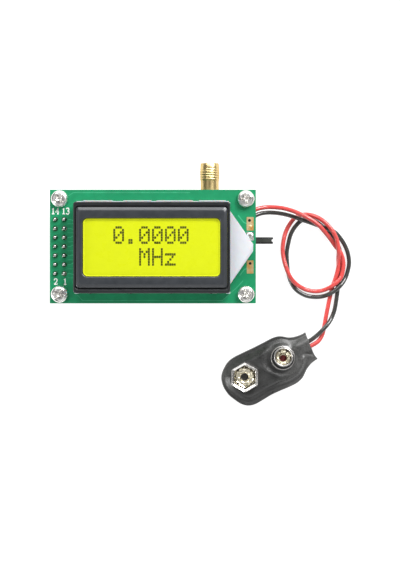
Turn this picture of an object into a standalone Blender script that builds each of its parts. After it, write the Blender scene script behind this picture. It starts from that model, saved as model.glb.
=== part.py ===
"""A pocket RF frequency counter: a character LCD module stacked on a counter board, with a coaxial jack,
a slide switch, two keys and a pair of leads to a snap clip for a 9 V battery.

The counter lies on its rear standoffs with the display facing +Z, +X to the reader's right and the jack
towards +Y. Design numbers are millimetres; MM turns them into metres where geometry is made. Positions are
measured from the centre of the two boards, and the empty "counter" carries them to the part's origin.
"""

import math

import bmesh
import bpy
from mathutils import Matrix, Vector

MM = 0.001
GAP = 0.1  # clearance between pieces that rest on or in each other

# Boards and the stack, from the surface that the feet stand on upwards
BOARD_X = 58.0
BOARD_Y = 32.0
BOARD_T = 1.6
HOLE_INSET = (2.8, 2.6)
HOLE_R = 1.35
THREAD_R = 1.2
FOOT_H = 6.0
STACK_GAP = 11.0
MAIN_LOW = FOOT_H + GAP
MAIN_TOP = MAIN_LOW + BOARD_T
LCD_LOW = MAIN_TOP + STACK_GAP
LCD_TOP = LCD_LOW + BOARD_T
HEX_AF = 4.5

# Screws
HEAD_R = 2.4
HEAD_H = 1.8
SCREW_REACH = 6.1

# Display
LCD_Y = -0.5
BEZEL_X = 43.2
BEZEL_Y = 25.2
BEZEL_HIGH = LCD_TOP + 8.0
BEZEL_LOW = LCD_TOP + 3.3
BEZEL_WALL = 0.5
SHOULDER = 2.0
SHOULDER_DROP = 1.1
WINDOW_X = 37.9
WINDOW_Y = 16.1
WINDOW_R = 1.35
GLASS_X = 41.6
GLASS_Y = 23.6
FRONT_GLASS_Y = 20.2
GLASS_T = 2.6
TRAY_LIP = LCD_TOP + 3.1
TRAY_TOP = LCD_TOP + 4.5
TAB_XS = (-17.0, -5.7, 5.7, 17.0)
TAB_W = 1.6
ZEBRA_Y = 10.3
ZEBRA_W = 1.6
ZEBRA_HALF = 18.6
WEDGE_TIP = 28.1
WEDGE_Y = -0.4
WEDGE_ROOT_HALF = 11.2
WEDGE_TIP_HALF = 1.0
LED_X = (24.4, 26.4)
LED_HALF = 1.2

# Board-to-board connector
PIN_PITCH = 2.54
PIN_ROWS = 7
PIN_SIDE = 0.64
PIN_COLUMNS = (-27.46, -24.92)
SOCKET_H = 8.5
PIN_TOP = LCD_TOP + 1.2
PIN_LOW = MAIN_TOP + 2.6

# Coaxial jack, a 1/4-36 thread
JACK_X = 16.1
JACK_BLOCK = 6.3
JACK_FACE = 16.0
JACK_TIP = 24.4
JACK_Z = MAIN_TOP + GAP + JACK_BLOCK / 2
THREAD_PITCH = 25.4 / 36
THREAD_MAJOR_R = 3.1
THREAD_MINOR_R = 2.68
BARREL_R = 2.66
MOUTH_R = 2.3
MOUTH_DEPTH = 1.9
INSULATOR_R = 2.0
CONTACT_R = 0.64

# Slide switch
SWITCH_Y = 1.1
SWITCH_TRAVEL = 2.0
SWITCH_LOW_X = 25.5
SWITCH_HIGH_X = 29.4
SWITCH_HALF = 4.3
SWITCH_H = 4.4
SWITCH_WALL = 0.3
LEVER_TIP = 34.6
LEVER_W = 1.92
LEVER_T = 1.5
LEVER_NOTCH = 0.5

# Power connector
POWER_Y = 6.6
POWER_SOCKET_X = (14.6, 21.6)
POWER_PLUG_X = (16.4, 24.0)
POWER_HALF = 2.85
POWER_H = 4.6
WIRE_PITCH = 2.0

# Battery leads and clip
WIRE_R = 0.65
WIRE_SIDES = 2  # bevel_resolution: eight sides
CLIP_PLACE = (26.5, -38.1)
CLIP_ANGLE = math.radians(27.0)
CLIP_SKEW = -1.3  # the welded cover sits off the line of the two snaps
CLIP_HALF = 7.65
CLIP_TAIL = 7.0
CLIP_NOSE = 22.1
CLIP_NOSE_HALF = 4.5
CLIP_NECK = (20.2, 4.35)
CLIP_SHOULDER_X = 12.6
CLIP_MOUTH = (-2.8, 1.7)
PLATE_END = 15.6
SNAP_PLACES = ((0.0, 0.0), (12.7, -0.25))
CLIP_BACK_T = 0.9
CLIP_TOP = 3.1
CLIP_POCKET = 2.6
CLIP_PLATE_Z = (1.4, 2.2)
SNAP_LOW = CLIP_TOP + GAP
SNAP_TOP = 6.2
SNAP_AF = 7.75
SNAP_SHEET = 0.4

# Routes of the two battery leads along their centrelines, from plug to clip
RED_ROUTE = (
    (24.4, 7.6, 10.1), (26.6, 9.2, 10.1), (29.6, 11.2, 9.7), (32.5, 11.9, 8.7), (35.5, 12.0, 7.2),
    (38.4, 11.7, 5.8), (41.4, 10.9, 4.6), (44.2, 9.7, 3.8), (46.6, 8.4, 3.5), (48.6, 6.9, 3.6),
    (50.4, 5.0, 3.1), (52.2, 2.9, 2.3), (53.7, 0.8, 2.0), (55.1, -0.9, 2.2), (55.9, -3.0, 2.1),
    (56.1, -5.3, 2.1), (55.5, -8.2, 2.3), (54.4, -9.7, 2.6), (53.2, -10.8, 2.5), (51.6, -11.8, 1.7),
    (49.8, -12.5, 0.8), (47.6, -12.7, 0.7), (44.8, -12.1, 0.8), (42.3, -10.7, 1.6), (40.3, -8.6, 2.3),
    (39.1, -5.9, 2.3), (38.3, -3.1, 1.9), (38.0, -0.3, 1.5), (38.3, 2.6, 1.2), (39.0, 5.1, 0.7),
    (40.3, 7.6, 0.7), (42.1, 9.6, 0.7), (44.6, 10.3, 1.0), (47.0, 9.9, 2.1), (49.2, 8.8, 3.0),
    (51.1, 7.2, 3.6), (52.7, 5.2, 3.7), (53.8, 3.0, 3.6), (54.3, 1.0, 3.6), (54.5, -1.0, 3.5),
    (54.5, -3.0, 2.7), (54.6, -5.2, 2.1), (54.2, -7.3, 1.9), (53.6, -9.5, 1.3), (53.0, -11.3, 0.7),
    (52.3, -14.2, 0.7), (51.7, -17.0, 0.7), (51.1, -20.0, 0.7), (50.6, -22.8, 0.7), (50.0, -25.6, 0.8),
    (48.6, -27.7, 1.4), (46.3, -29.1, 1.7), (42.7, -31.1, 1.7),
)  # fmt: skip
BLACK_ROUTE = (
    (24.4, 5.6, 10.1), (26.6, 7.2, 10.1), (29.6, 9.5, 9.6), (32.4, 10.3, 8.4), (35.3, 10.4, 6.9),
    (38.3, 10.1, 5.0), (41.2, 9.5, 3.0), (43.5, 8.7, 2.3), (46.0, 7.9, 2.2), (48.7, 6.9, 2.1),
    (51.4, 6.0, 2.3), (53.6, 4.9, 2.1), (55.1, 3.4, 1.4), (56.6, 1.3, 0.7), (57.6, -1.2, 0.7),
    (58.0, -4.0, 0.7), (57.6, -6.6, 0.7), (56.7, -9.0, 1.1), (55.3, -10.9, 2.1), (53.5, -12.5, 2.3),
    (51.7, -13.6, 2.0), (49.7, -14.3, 1.1), (47.3, -14.4, 0.7), (44.8, -13.9, 0.7), (42.2, -12.3, 0.7),
    (40.6, -10.0, 0.7), (39.7, -7.0, 0.7), (39.4, -4.0, 0.7), (39.3, -1.2, 0.7), (39.8, 1.8, 0.7),
    (40.6, 4.6, 0.7), (42.0, 6.9, 0.7), (43.8, 8.5, 0.7), (46.4, 8.9, 0.7), (49.1, 7.9, 0.7),
    (51.6, 5.7, 0.7), (53.7, 3.0, 0.7), (55.0, 0.2, 0.7), (55.4, -2.6, 0.7), (55.4, -5.2, 0.7),
    (55.1, -8.1, 0.7), (54.7, -10.8, 0.7), (54.4, -13.7, 0.7), (53.7, -18.0, 0.7), (52.7, -20.7, 1.0),
    (51.4, -22.6, 1.9), (49.7, -24.4, 2.4), (47.8, -26.2, 2.0), (45.7, -27.7, 1.7), (42.1, -29.5, 1.7),
)  # fmt: skip


# ---------------------------------------------------------------- materials
def make_material(name, colour, roughness, metallic=0.0):
    material = bpy.data.materials.new(name)
    material.use_nodes = True
    shader = material.node_tree.nodes["Principled BSDF"]
    shader.inputs["Base Color"].default_value = (*colour, 1.0)
    shader.inputs["Roughness"].default_value = roughness
    shader.inputs["Metallic"].default_value = metallic
    material.diffuse_color = (*colour, 1.0)
    return material


def make_materials():
    rows = {
        "board": ((0.02, 0.26, 0.11), 0.4),
        "bezel": ((0.035, 0.037, 0.042), 0.35, 0.3),
        "glass": ((0.74, 0.83, 0.02), 0.1),
        "white_plastic": ((0.82, 0.83, 0.86), 0.4),
        "light_panel": ((0.75, 0.85, 0.05), 0.5),
        "zebra": ((0.06, 0.06, 0.06), 0.8),
        "nickel": ((0.75, 0.74, 0.72), 0.25, 1.0),
        "gold": ((0.83, 0.62, 0.25), 0.25, 1.0),
        "ptfe": ((0.9, 0.9, 0.88), 0.5),
        "black_plastic": ((0.02, 0.02, 0.02), 0.5),
        "phenolic": ((0.12, 0.06, 0.03), 0.6),
        "epoxy": ((0.01, 0.01, 0.01), 0.3),
        "red_pvc": ((0.8, 0.06, 0.05), 0.35),
        "black_pvc": ((0.03, 0.03, 0.03), 0.35),
        "leatherette": ((0.05, 0.05, 0.05), 0.55),
        "fibre": ((0.2, 0.1, 0.04), 0.8),
        "aluminium": ((0.8, 0.8, 0.8), 0.35, 1.0),
    }
    return {name: make_material(name, *row) for name, row in rows.items()}


# ---------------------------------------------------------------- shapes
def clear_scene():
    for obj in list(bpy.data.objects):
        bpy.data.objects.remove(obj)


def make_collection(name):
    collection = bpy.data.collections.new(name)
    bpy.context.scene.collection.children.link(collection)
    return collection


def new_object(name, data, material=None, helper=False):
    """A part of the counter, or a cutter where helper is true; both are measured from the board centre."""
    obj = bpy.data.objects.new(name, data)
    (CUTTERS if helper else PARTS).objects.link(obj)
    obj.parent = COUNTER
    if material:
        data.materials.append(MATERIALS[material])
    if helper:
        obj.hide_render = True
        obj.display_type = "WIRE"
    return obj


def mesh_object(name, bm, material, helper):
    mesh = bpy.data.meshes.new(name)
    bmesh.ops.recalc_face_normals(bm, faces=bm.faces)
    bm.to_mesh(mesh)
    bm.free()
    return new_object(name, mesh, material, helper)


def block(name, low, high, material=None, helper=False, bevel=0.0, centre=None):
    """A box from its low to its high corner. Its origin is at centre, or at the middle of the box."""
    low, high = Vector(low), Vector(high)
    origin = Vector(centre) if centre else (low + high) / 2
    bm = bmesh.new()
    size = Matrix.Diagonal((*(high - low) * MM, 1.0))
    bmesh.ops.create_cube(bm, size=1.0, matrix=Matrix.Translation(((low + high) / 2 - origin) * MM) @ size)
    obj = mesh_object(name, bm, material, helper)
    obj.location = origin * MM
    if bevel:
        add_bevel(obj, bevel)
    return obj


def prism(name, place, radius, low, high, sides, material=None, helper=False, turn=0.0, top=None):
    """An upright cylinder, or another prism or cone with that many sides, on a line through place."""
    bm = bmesh.new()
    bmesh.ops.create_cone(
        bm,
        cap_ends=True,
        segments=sides,
        radius1=radius * MM,
        radius2=(radius if top is None else top) * MM,
        depth=(high - low) * MM,
    )
    bmesh.ops.rotate(bm, matrix=Matrix.Rotation(math.radians(turn), 3, "Z"), verts=bm.verts)
    obj = mesh_object(name, bm, material, helper)
    obj.location = Vector((place[0], place[1], (low + high) / 2)) * MM
    return obj


def plate(name, loops, low, high, material=None, helper=False):
    """A flat piece between two heights: the first loop is its outline and the others are holes in it."""
    curve = bpy.data.curves.new(name + "_outline", "CURVE")
    curve.dimensions = "2D"
    curve.fill_mode = "BOTH"
    curve.extrude = (high - low) / 2 * MM
    for loop in loops:
        spline = curve.splines.new("POLY")
        spline.points.add(len(loop) - 1)
        spline.use_cyclic_u = True
        for point, (x, y) in zip(spline.points, loop, strict=True):
            point.co = (x * MM, y * MM, 0.0, 1.0)
    drawn = new_object(name + "_outline", curve, None, helper=True)
    obj = as_mesh(drawn, name, material, helper)
    obj.location = (0.0, 0.0, (low + high) / 2 * MM)
    return obj


def as_mesh(source, name, material=None, helper=False):
    """A plain mesh piece with the shape that source shows after its modifiers. Source is removed."""
    bpy.context.view_layer.update()
    seen = source.evaluated_get(bpy.context.evaluated_depsgraph_get())
    mesh = bpy.data.meshes.new_from_object(seen)
    mesh.name = name
    bm = bmesh.new()
    bm.from_mesh(mesh)
    bmesh.ops.remove_doubles(bm, verts=bm.verts, dist=1e-6)
    bm.to_mesh(mesh)
    bm.free()
    obj = new_object(name, mesh, None, helper)
    obj.location, obj.rotation_euler = source.location, source.rotation_euler
    if material:
        mesh.materials.clear()
        mesh.materials.append(MATERIALS[material])
    source.name = name + "_source"
    bpy.data.objects.remove(source)
    obj.name = name
    return obj


def turned(name, profile, steps, material=None, helper=False, closed=False):
    """A profile of (radius, height), top to bottom down its outer side, turned about the vertical."""
    mesh = bpy.data.meshes.new(name)
    points = [(radius * MM, 0.0, height * MM) for radius, height in profile]
    edges = [(i, i + 1) for i in range(len(points) - 1)]
    if closed:
        edges.append((len(points) - 1, 0))
    mesh.from_pydata(points, edges, [])
    obj = new_object(name, mesh, material, helper)
    screw = obj.modifiers.new("turn", "SCREW")
    screw.steps = screw.render_steps = steps
    screw.use_merge_vertices = True
    screw.merge_threshold = 1e-6
    screw.use_smooth_shade = True
    return obj


def tube(name, points, radius, material):
    """A round wire through points, with flat ends."""
    curve = bpy.data.curves.new(name, "CURVE")
    curve.dimensions = "3D"
    curve.bevel_depth = radius * MM
    curve.bevel_resolution = WIRE_SIDES
    curve.use_fill_caps = True
    spline = curve.splines.new("POLY")
    spline.points.add(len(points) - 1)
    for point, place in zip(spline.points, points, strict=True):
        point.co = (*Vector(place) * MM, 1.0)
    return new_object(name, curve, material)


def add_bevel(obj, width, segments=1, angle=40.0):
    modifier = obj.modifiers.new("edges", "BEVEL")
    modifier.width = width * MM
    modifier.segments = segments
    modifier.limit_method = "ANGLE"
    modifier.angle_limit = math.radians(angle)


def combine(obj, operation, *others):
    for other in others:
        modifier = obj.modifiers.new(operation.lower(), "BOOLEAN")
        modifier.operation = operation
        modifier.solver = "EXACT"
        modifier.object = other
        other.hide_render = True
        other.display_type = "WIRE"
    return obj


def cut(obj, *others):
    return combine(obj, "DIFFERENCE", *others)


def join(obj, *others):
    return combine(obj, "UNION", *others)


def copies(source, names, places):
    """One object for each place, all sharing the mesh of source, which is removed."""
    model = as_mesh(source, "model", None, helper=True)
    height = model.location.z
    for name, (x, y) in zip(names, places, strict=True):
        obj = new_object(name, model.data)
        obj.location = (x * MM, y * MM, height)
        obj.rotation_euler = model.rotation_euler
    bpy.data.objects.remove(model)


def shade_round(angle=35.0):
    """Smooth shading on every mesh part, with sharp edges kept."""
    for obj in PARTS.objects:
        if obj.type == "MESH" and obj.data.polygons:
            obj.data.shade_smooth()
            obj.data.set_sharp_from_angle(angle=math.radians(angle))


# ---------------------------------------------------------------- outlines
def circle(x, y, radius, sides):
    steps = [2 * math.pi * i / sides for i in range(sides)]
    return [(x + radius * math.cos(a), y + radius * math.sin(a)) for a in steps]


def arc(x, y, radius, start, end, steps):
    angles = [math.radians(start + (end - start) * i / steps) for i in range(steps + 1)]
    return [(x + radius * math.cos(a), y + radius * math.sin(a)) for a in angles]


def rectangle(x, y, width, height):
    a, b = width / 2, height / 2
    return [(x - a, y - b), (x + a, y - b), (x + a, y + b), (x - a, y + b)]


def rounded(x, y, width, height, radius, steps=4):
    a, b = width / 2 - radius, height / 2 - radius
    corners = ((a, b, 0), (-a, b, 90), (-a, -b, 180), (a, -b, 270))
    return [p for dx, dy, start in corners for p in arc(x + dx, y + dy, radius, start, start + 90, steps)]


def bezier(a, b, c, d, steps):
    """Points of a cubic curve from a to d, without a itself."""
    found = []
    for i in range(1, steps + 1):
        t = i / steps
        weights = ((1 - t) ** 3, 3 * t * (1 - t) ** 2, 3 * t * t * (1 - t), t**3)
        pairs = list(zip(weights, (a, b, c, d), strict=True))
        found.append(tuple(sum(weight * point[k] for weight, point in pairs) for k in (0, 1)))
    return found


def smooth_route(points, count):
    """Evenly spaced points on the smooth curve through a wire's route."""
    route = [Vector(p) for p in points]
    ends = [2 * route[0] - route[1], *route, 2 * route[-1] - route[-2]]
    fine = [route[0]]
    for a, b, c, d in zip(ends, ends[1:], ends[2:], ends[3:], strict=False):
        bend, twist = 2 * a - 5 * b + 4 * c - d, 3 * b - a - 3 * c + d
        for step in range(1, 9):
            t = step / 8
            fine.append((2 * b + (c - a) * t + bend * t**2 + twist * t**3) / 2)
    along = [0.0]
    for a, b in zip(fine, fine[1:], strict=False):
        along.append(along[-1] + (b - a).length)
    found, at = [], 0
    for i in range(count):
        want = along[-1] * i / (count - 1)
        while at < len(fine) - 2 and along[at + 1] < want:
            at += 1
        share = (want - along[at]) / (along[at + 1] - along[at])
        found.append(fine[at].lerp(fine[at + 1], min(max(share, 0.0), 1.0)))
    return found


def hole_places():
    x, y = BOARD_X / 2 - HOLE_INSET[0], BOARD_Y / 2 - HOLE_INSET[1]
    return [(-x, y), (x, y), (-x, -y), (x, -y)]


def pin_places():
    rows = [PIN_PITCH * (i - (PIN_ROWS - 1) / 2) for i in range(PIN_ROWS)]
    return [(x, y) for y in rows for x in PIN_COLUMNS]


def clip_outline(inset=0.0):
    """The clip's pear-shaped outline on its own axis, anticlockwise from the lower corner of its nose."""
    half, nose = CLIP_HALF - inset, CLIP_NOSE - inset
    neck_x, neck = CLIP_NECK[0], CLIP_NECK[1] - inset
    corner = CLIP_NOSE_HALF - inset
    tail_x = CLIP_HALF - CLIP_TAIL
    x = CLIP_SHOULDER_X
    upper = bezier((nose, corner), (nose - 0.3, neck + 0.1), (neck_x + 0.3, neck), (neck_x, neck), 3)
    upper += bezier(upper[-1], (neck_x - 2.4, neck + 0.1), (x + 3.8, half - 0.1), (x, half), 7)
    upper += arc(tail_x, 0.0, half, 90, 180, 8)
    lower = [(x, -y) for x, y in reversed(upper[:-1])]
    end = bezier((nose, -corner), (nose - 0.9, -corner / 2), (nose - 0.9, corner / 2), (nose, corner), 6)
    loop = [(nose, -corner), *end, *upper, *lower]
    return [(x, y + CLIP_SKEW) for x, y in loop]


# ---------------------------------------------------------------- display module
def build_lcd_board():
    holes = [circle(x, y, HOLE_R, 12) for x, y in hole_places()]
    holes += [rectangle(x, y, PIN_SIDE + 0.25, PIN_SIDE + 0.25) for x, y in pin_places()]
    slot_y = (BEZEL_Y - BEZEL_WALL) / 2
    for x in TAB_XS:
        holes += [rectangle(x, LCD_Y + side * slot_y, TAB_W + 0.6, 0.9) for side in (-1, 1)]
    plate("lcd_board", [rectangle(0, 0, BOARD_X, BOARD_Y), *holes], LCD_LOW, LCD_TOP, "board")


def bezel_section(name, inset, low, helper=False):
    """The bezel's outer or inner form: a tray whose long edges step down to a rounded shoulder."""
    half, high = BEZEL_Y / 2 - inset, BEZEL_HIGH - inset
    flat = half - SHOULDER + inset / 2
    drop = high - SHOULDER_DROP
    side = [(half, low), (half, drop - 0.8), (half - 0.35, drop - 0.1)]
    side += [(flat + 0.5, drop + 0.5), (flat, high)]
    outline = side + [(-y, z) for y, z in reversed(side)]
    reach = BEZEL_X / 2 - inset
    form = plate(name, [outline], -reach, reach, None if helper else "bezel", helper)
    form.location.z = 0.0
    turn = Matrix(((0, 0, 1), (1, 0, 0), (0, 1, 0))).to_4x4()
    form.data.transform(turn)
    form.location.y = LCD_Y * MM
    return form


def build_bezel():
    bezel = bezel_section("lcd_bezel", 0.0, BEZEL_LOW)
    inside = bezel_section("bezel_inside", BEZEL_WALL, BEZEL_LOW - 1.0, helper=True)
    opening = rounded(0, LCD_Y, WINDOW_X, WINDOW_Y, WINDOW_R)
    window = plate("bezel_window", [opening], 26.0, 30.0, helper=True)
    cut(bezel, inside, window)
    edge = BEZEL_Y / 2 - BEZEL_WALL / 2
    for i, x in enumerate(TAB_XS):
        for side in (-1, 1):
            y = LCD_Y + side * edge
            low = (x - TAB_W / 2, y - BEZEL_WALL / 2 + 0.05, LCD_LOW + 0.4)
            high = (x + TAB_W / 2, y + BEZEL_WALL / 2 - 0.05, BEZEL_LOW + 0.6)
            join(bezel, block(f"bezel_tab_{i}_{side}", low, high, helper=True))


def build_glass():
    """Two bonded glasses, of which the rear one reaches further, over the contact strips."""
    low = TRAY_TOP + GAP
    x, y = GLASS_X / 2, GLASS_Y / 2
    glass = block("lcd_glass", (-x, LCD_Y - y, low), (x, LCD_Y + y, low + GLASS_T / 2), "glass")
    y = FRONT_GLASS_Y / 2
    join(glass, block("front_glass", (-x, LCD_Y - y, low + 1), (x, LCD_Y + y, low + GLASS_T), helper=True))


def build_backlight():
    low = LCD_TOP + GAP
    lip_y = (LCD_Y - BEZEL_Y / 2 + 0.1, LCD_Y + BEZEL_Y / 2 + 0.65)
    tray = block("backlight_tray", (-21.4, lip_y[0], low), (21.4, lip_y[1], TRAY_LIP), "white_plastic")
    upper = block("tray_upper", (-20.8, LCD_Y - 12.0, low + 1), (20.8, LCD_Y + 12.0, TRAY_TOP), helper=True)
    side = [(WEDGE_TIP, WEDGE_TIP_HALF), (21.0, WEDGE_ROOT_HALF)]
    outline = [(x, WEDGE_Y - y) for x, y in reversed(side)] + [(x, WEDGE_Y + y) for x, y in side]
    wedge = plate("tray_wedge", [outline], low, TRAY_LIP - 0.1, helper=True)
    join(tray, upper, wedge)
    for side in (-1, 1):
        y = LCD_Y + side * ZEBRA_Y
        size = (ZEBRA_HALF + GAP, ZEBRA_W / 2 + GAP)
        slot = (-size[0], y - size[1], 0), (size[0], y + size[1], 40)
        cut(tray, block(f"zebra_slot_{side}", *slot, helper=True))
        for i, x in enumerate(TAB_XS):
            y = LCD_Y + side * BEZEL_Y / 2
            notch = (x - TAB_W / 2 - 0.2, y - 0.7, 0), (x + TAB_W / 2 + 0.2, y + 0.7, TRAY_LIP + 0.3)
            cut(tray, block(f"tab_notch_{i}_{side}", *notch, helper=True))
    recess = block("panel_recess", (-19.6, LCD_Y - 8.9, low + 1.5), (19.6, LCD_Y + 8.9, 40), helper=True)
    room = LED_HALF + 2 * GAP
    pocket_ends = (LED_X[0] - 0.2, WEDGE_Y - room, 0), (LED_X[1] + 0.2, WEDGE_Y + room, low + 2.0)
    pocket = block("led_pocket", *pocket_ends, helper=True)
    cut(tray, recess, pocket)
    block("light_panel", (-19.5, LCD_Y - 8.8, low + 1.6), (19.5, LCD_Y + 8.8, TRAY_TOP), "light_panel")
    led_ends = (LED_X[0], WEDGE_Y - LED_HALF, low), (LED_X[1], WEDGE_Y + LED_HALF, low + 1.8)
    block("backlight_led", *led_ends, "light_panel", bevel=0.15)
    for name, side in (("zebra_strip_upper", 1), ("zebra_strip_lower", -1)):
        y = LCD_Y + side * ZEBRA_Y
        corner = (ZEBRA_HALF, y + ZEBRA_W / 2, TRAY_TOP)
        block(name, (-ZEBRA_HALF, y - ZEBRA_W / 2, low), corner, "zebra")


def build_driver_blobs():
    """Epoxy domes over the two display driver dies, on the underside of the display board."""
    for name, x, radius in (("driver_blob_left", -9.0, 6.0), ("driver_blob_right", 8.0, 5.2)):
        rim, depth = LCD_LOW - GAP, 1.3
        rise = [math.radians(a) for a in range(0, 91, 15)]
        dome = [(radius * math.cos(a), rim - 0.15 - (depth - 0.15) * math.sin(a)) for a in rise]
        blob = turned(name, [(0, rim), (radius, rim), *dome[:-1], (0, rim - depth)], 20, "epoxy")
        blob.location = (x * MM, 1.0 * MM, 0)


# ---------------------------------------------------------------- fasteners
def build_screws():
    seat = LCD_TOP + GAP
    rise = [math.radians(a) for a in (80, 60, 40, 20)]
    dome = [(HEAD_R * math.cos(a), seat + 0.75 + (HEAD_H - 0.75) * math.sin(a)) for a in rise]
    profile = [(0, seat + HEAD_H), *dome, (HEAD_R, seat + 0.6), (HEAD_R - 0.15, seat), (THREAD_R, seat)]
    end = seat - SCREW_REACH
    profile += [(THREAD_R, end + 0.3), (THREAD_R - 0.3, end), (0, end)]
    screw = turned("screw_model", profile, 20, "nickel")
    for turn in (0, 90):
        wing = (1.45, 0.32) if turn == 0 else (0.32, 1.45)
        low = (-wing[0], -wing[1], seat + 0.7)
        cut(screw, block(f"screw_cross_{turn}", low, (wing[0], wing[1], seat + 3), helper=True))
    copies(screw, [f"lcd_screw_{i}" for i in (1, 2, 3, 4)], hole_places())


def build_spacers():
    """Hexagonal spacers between the boards, and standoffs below that screw up into them as feet."""
    corner_r = HEX_AF / math.sqrt(3)
    spacer = prism("spacer_model", (0, 0), corner_r, MAIN_TOP + GAP, LCD_LOW - GAP, 6, "nickel", turn=30)
    cut(spacer, prism("spacer_bore", (0, 0), THREAD_R + 0.1, MAIN_TOP - 1, LCD_LOW + 1, 12, helper=True))
    copies(spacer, [f"board_spacer_{i}" for i in (1, 2, 3, 4)], hole_places())
    foot = prism("foot_model", (0, 0), corner_r, 0.0, FOOT_H, 6, "nickel", turn=30)
    join(foot, prism("foot_stud", (0, 0), THREAD_R, FOOT_H - 1, MAIN_TOP + 4.0, 12, helper=True))
    cut(foot, prism("foot_bore", (0, 0), THREAD_R - 0.15, -1.0, FOOT_H - 1.5, 12, helper=True))
    copies(foot, [f"rear_standoff_{i}" for i in (1, 2, 3, 4)], hole_places())


# ---------------------------------------------------------------- connectors
def build_board_connector():
    x = sum(PIN_COLUMNS) / 2
    half = (2.45, PIN_PITCH * PIN_ROWS / 2)
    top = MAIN_TOP + GAP + SOCKET_H
    outline = rectangle(x, 0, 2 * half[0], 2 * half[1])
    wells = [rectangle(px, py, PIN_SIDE + 0.3, PIN_SIDE + 0.3) for px, py in pin_places()]
    plate("header_socket", [outline, *wells], MAIN_TOP + GAP, top, "black_plastic")
    ends = (x - half[0], -half[1], top + GAP), (x + half[0], half[1], LCD_LOW - GAP)
    strip = block("pin_header", *ends, "black_plastic")
    pins = bmesh.new()
    for px, py in pin_places():
        shape = Matrix.Diagonal((PIN_SIDE * MM, PIN_SIDE * MM, (PIN_TOP - PIN_LOW) * MM, 1.0))
        place = Matrix.Translation(Vector((px, py, (PIN_TOP + PIN_LOW) / 2)) * MM)
        bmesh.ops.create_cube(pins, size=1.0, matrix=place @ shape)
    join(strip, mesh_object("header_pins", pins, None, True))


def build_jack():
    """A right-angle threaded coaxial jack: block and barrel in one, dielectric, and centre contact."""
    length = JACK_TIP - JACK_FACE
    start, turns = length - 1.35, 5
    ridge = []
    for i in range(turns):
        high = start - i * THREAD_PITCH
        ridge += [(THREAD_MAJOR_R, high - 0.16), (THREAD_MAJOR_R, high - 0.24)]
        ridge += [(THREAD_MINOR_R, high - 0.46), (THREAD_MINOR_R, high - THREAD_PITCH + 0.06)]
    profile = [(0, length), (BARREL_R - 0.2, length), (BARREL_R, length - 0.2), (BARREL_R, start), *ridge]
    profile += [(BARREL_R, start - turns * THREAD_PITCH), (BARREL_R, -2.0), (0, -2.0)]
    barrel = turned("jack_barrel", profile, 24, helper=True)
    barrel.rotation_euler = (math.radians(-90), 0, 0)
    barrel.location = Vector((JACK_X, JACK_FACE, JACK_Z)) * MM
    half = JACK_BLOCK / 2
    low = (JACK_X - half, JACK_FACE - JACK_BLOCK, JACK_Z - half)
    shell = block("sma_shell", low, (JACK_X + half, JACK_FACE - 0.1, JACK_Z + half), "gold", bevel=0.15)
    join(shell, barrel)
    for i, (sx, y) in enumerate((sx, y) for sx in (-1, 1) for y in (JACK_FACE - 5.7, JACK_FACE - 0.7)):
        x = JACK_X + sx * 2.54
        leg = (x - 0.4, y - 0.4, MAIN_LOW - 1.2), (x + 0.4, y + 0.4, JACK_Z)
        join(shell, block(f"jack_leg_{i}", *leg, helper=True))
    bores = (("jack_bore", INSULATOR_R + 0.05, -7.4), ("jack_mouth", MOUTH_R, length - MOUTH_DEPTH))
    for name, radius, end in bores:
        profile = [(0, length + 1), (radius, length + 1), (radius, end), (0, end)]
        bore = turned(name, profile, 24, helper=True)
        bore.rotation_euler = barrel.rotation_euler
        bore.location = barrel.location
        cut(shell, bore)
    build_jack_core(length, barrel.location)


def build_jack_core(length, place):
    face, back = length - MOUTH_DEPTH, -4.9
    ring = [(INSULATOR_R, face), (INSULATOR_R, back), (CONTACT_R + 0.05, back), (CONTACT_R + 0.05, face)]
    insulator = turned("sma_insulator", ring, 20, "ptfe", closed=True)
    tip = [(0.45, face + 0.15), (CONTACT_R, face + 0.1), (CONTACT_R, back - 0.2), (0, back - 0.2)]
    contact = turned("sma_contact", [(0, face - 2.5), (0.45, face - 2.5), *tip], 16, "gold")
    for piece in (insulator, contact):
        piece.rotation_euler = (math.radians(-90), 0, 0)
        piece.location = place


def build_power_connector():
    low = MAIN_TOP + GAP
    x0, x1 = POWER_SOCKET_X
    ends = (x0, POWER_Y - POWER_HALF, low), (x1, POWER_Y + POWER_HALF, low + POWER_H)
    socket = block("power_socket", *ends, "white_plastic", bevel=0.15)
    inner = POWER_HALF - 0.6
    room = (x0 + 1.5, POWER_Y - inner, low + 0.6), (40, POWER_Y + inner, low + POWER_H - 0.6)
    cut(socket, block("power_room", *room, helper=True))
    fit = inner - GAP
    plug_low = (POWER_PLUG_X[0], POWER_Y - fit, low + 0.7)
    plug_high = (POWER_PLUG_X[1] - GAP, POWER_Y + fit, low + POWER_H - 0.7)
    plug = block("power_plug", plug_low, plug_high, "white_plastic")
    add_bevel(plug, 0.15)


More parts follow.
